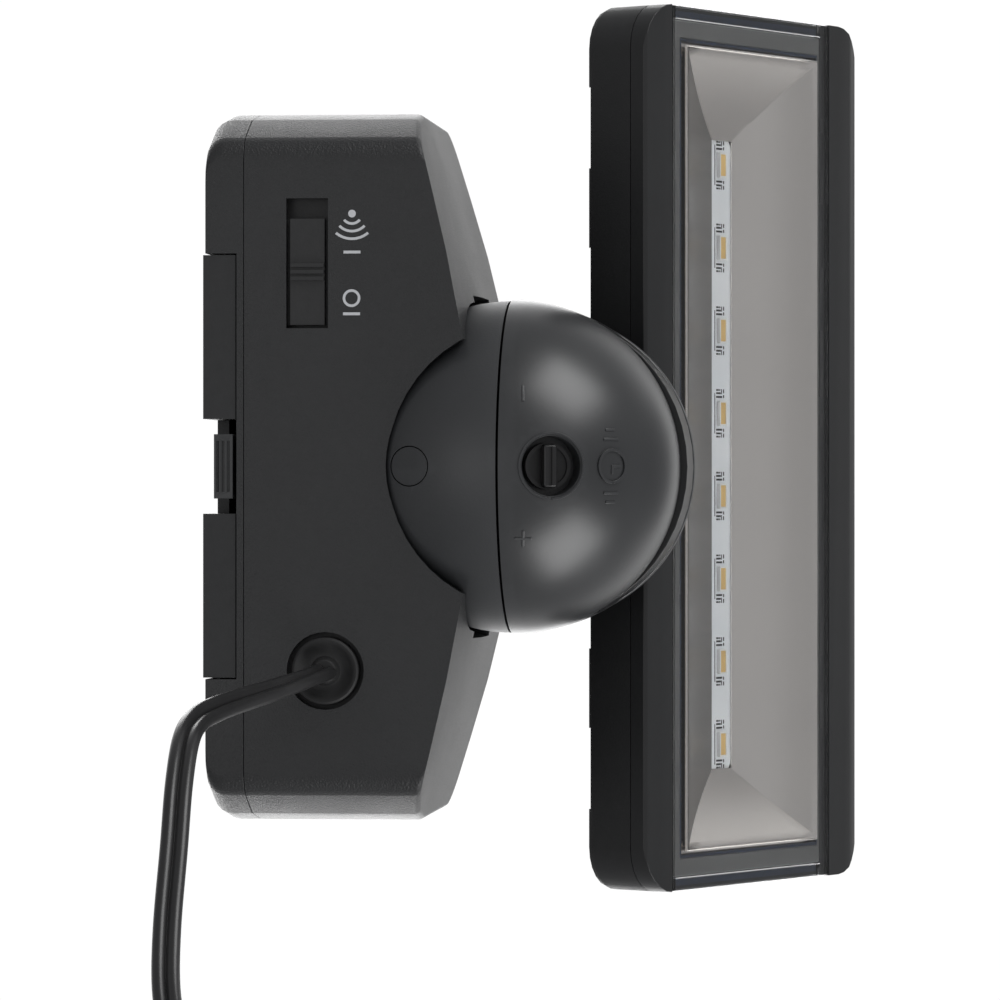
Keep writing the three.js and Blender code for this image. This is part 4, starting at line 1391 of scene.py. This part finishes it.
class FLOODLIGHT_OT_stage(bpy.types.Operator):
    """Adds the pale floor, the soft lights and the pale surroundings"""
    bl_idname = "floodlight.stage"
    bl_label = "Stage"

    def execute(self, context):
        deselect()
        bpy.ops.mesh.primitive_plane_add(size=40, location=(0, 0, -1.5))
        floor = called("floor")
        material, tree, shader, where = blank("Pale floor")
        tree.links.new(tint(tree, (0.35, 0.35, 0.355), (0.38, 0.38, 0.385), noise(tree, where, 3.0)),
                       shader.inputs["Base Color"])
        shader.inputs["Roughness"].default_value = 0.9
        floor.data.materials.append(material)
        world = bpy.data.worlds.new("Pale room")
        world.use_nodes = True
        tree = world.node_tree
        sky = tree.nodes["Background"]
        around = tree.nodes.new("ShaderNodeTexCoord")
        parts = tree.nodes.new("ShaderNodeSeparateXYZ")
        tree.links.new(around.outputs["Generated"], parts.inputs[0])
        rise = eased(tree, parts.outputs["Z"], 0.42, 0.85, "SMOOTHSTEP")
        room = tint(tree, (0.35, 0.352, 0.36), (1, 1, 1), rise)
        facing = tree.nodes.new("ShaderNodeVectorMath")
        facing.operation = "DOT_PRODUCT"
        facing.inputs[1].default_value = (0, -0.8, 0.6)
        tree.links.new(around.outputs["Generated"], facing.inputs[0])
        flag = eased(tree, facing.outputs["Value"], 0.9, 0.97, "SMOOTHSTEP")
        tree.links.new(over(tree, room, (0.24, 0.24, 0.245), flag), sky.inputs["Color"])
        sky.inputs["Strength"].default_value = 1.02
        context.scene.world = world
        key = sizes().stage.key
        aim = (0, DOME_Y, 0)
        for side in (-1, 1):
            area_light(f"side_light_{side}", (side * 0.99, DOME_Y - 0.73, -0.42), aim, 0.8, key)
            area_light(f"end_light_{side}", (side * 0.55, 0.3, 1.6), (side * 0.07, -0.03, 0),
                       0.8, key * 0.7)
        area_light("low_fill", (0.0, 0.5, -1.25), (0, -0.02, 0), 0.5, key * 0.14)
        context.scene.view_settings.view_transform = "Standard"
        return {"FINISHED"}


OPERATORS = (
    FLOODLIGHT_OT_camera_and_lead, FLOODLIGHT_OT_housing, FLOODLIGHT_OT_bracket,
    FLOODLIGHT_OT_switch, FLOODLIGHT_OT_grommet, FLOODLIGHT_OT_inner_parts,
    FLOODLIGHT_OT_turret, FLOODLIGHT_OT_arm, FLOODLIGHT_OT_head, FLOODLIGHT_OT_leds,
    FLOODLIGHT_OT_stage,
)


class FLOODLIGHT_PT_panel(bpy.types.Panel):
    """Shows the flood light's sizes, colours and stage settings, and the buttons that build it"""
    bl_idname = "FLOODLIGHT_PT_panel"
    bl_label = "Flood Light"
    bl_space_type = "VIEW_3D"
    bl_region_type = "UI"
    bl_category = "Flood Light"

    def draw(self, context):
        light = context.scene.flood_light
        for group in (light.lead, light.plastic, light.stage):
            for prop in group.bl_rna.properties:
                if prop.identifier not in ("rna_type", "name"):
                    self.layout.prop(group, prop.identifier)
        for operator in OPERATORS:
            self.layout.operator(operator.bl_idname)


CLASSES = (LeadSizes, PlasticLooks, StageSizes, FloodLight, *OPERATORS, FLOODLIGHT_PT_panel)


def register():
    for cls in CLASSES:
        bpy.utils.register_class(cls)
    bpy.types.Scene.flood_light = PointerProperty(type=FloodLight)


def unregister():
    del bpy.types.Scene.flood_light
    for cls in reversed(CLASSES):
        bpy.utils.unregister_class(cls)


def main():
    register()
    for operator in OPERATORS:
        group, name = operator.bl_idname.split(".")
        result = getattr(getattr(bpy.ops, group), name)()
        if "FINISHED" not in result:
            raise RuntimeError(f"{operator.bl_label} did not finish")


if __name__ == "__main__":
    main()
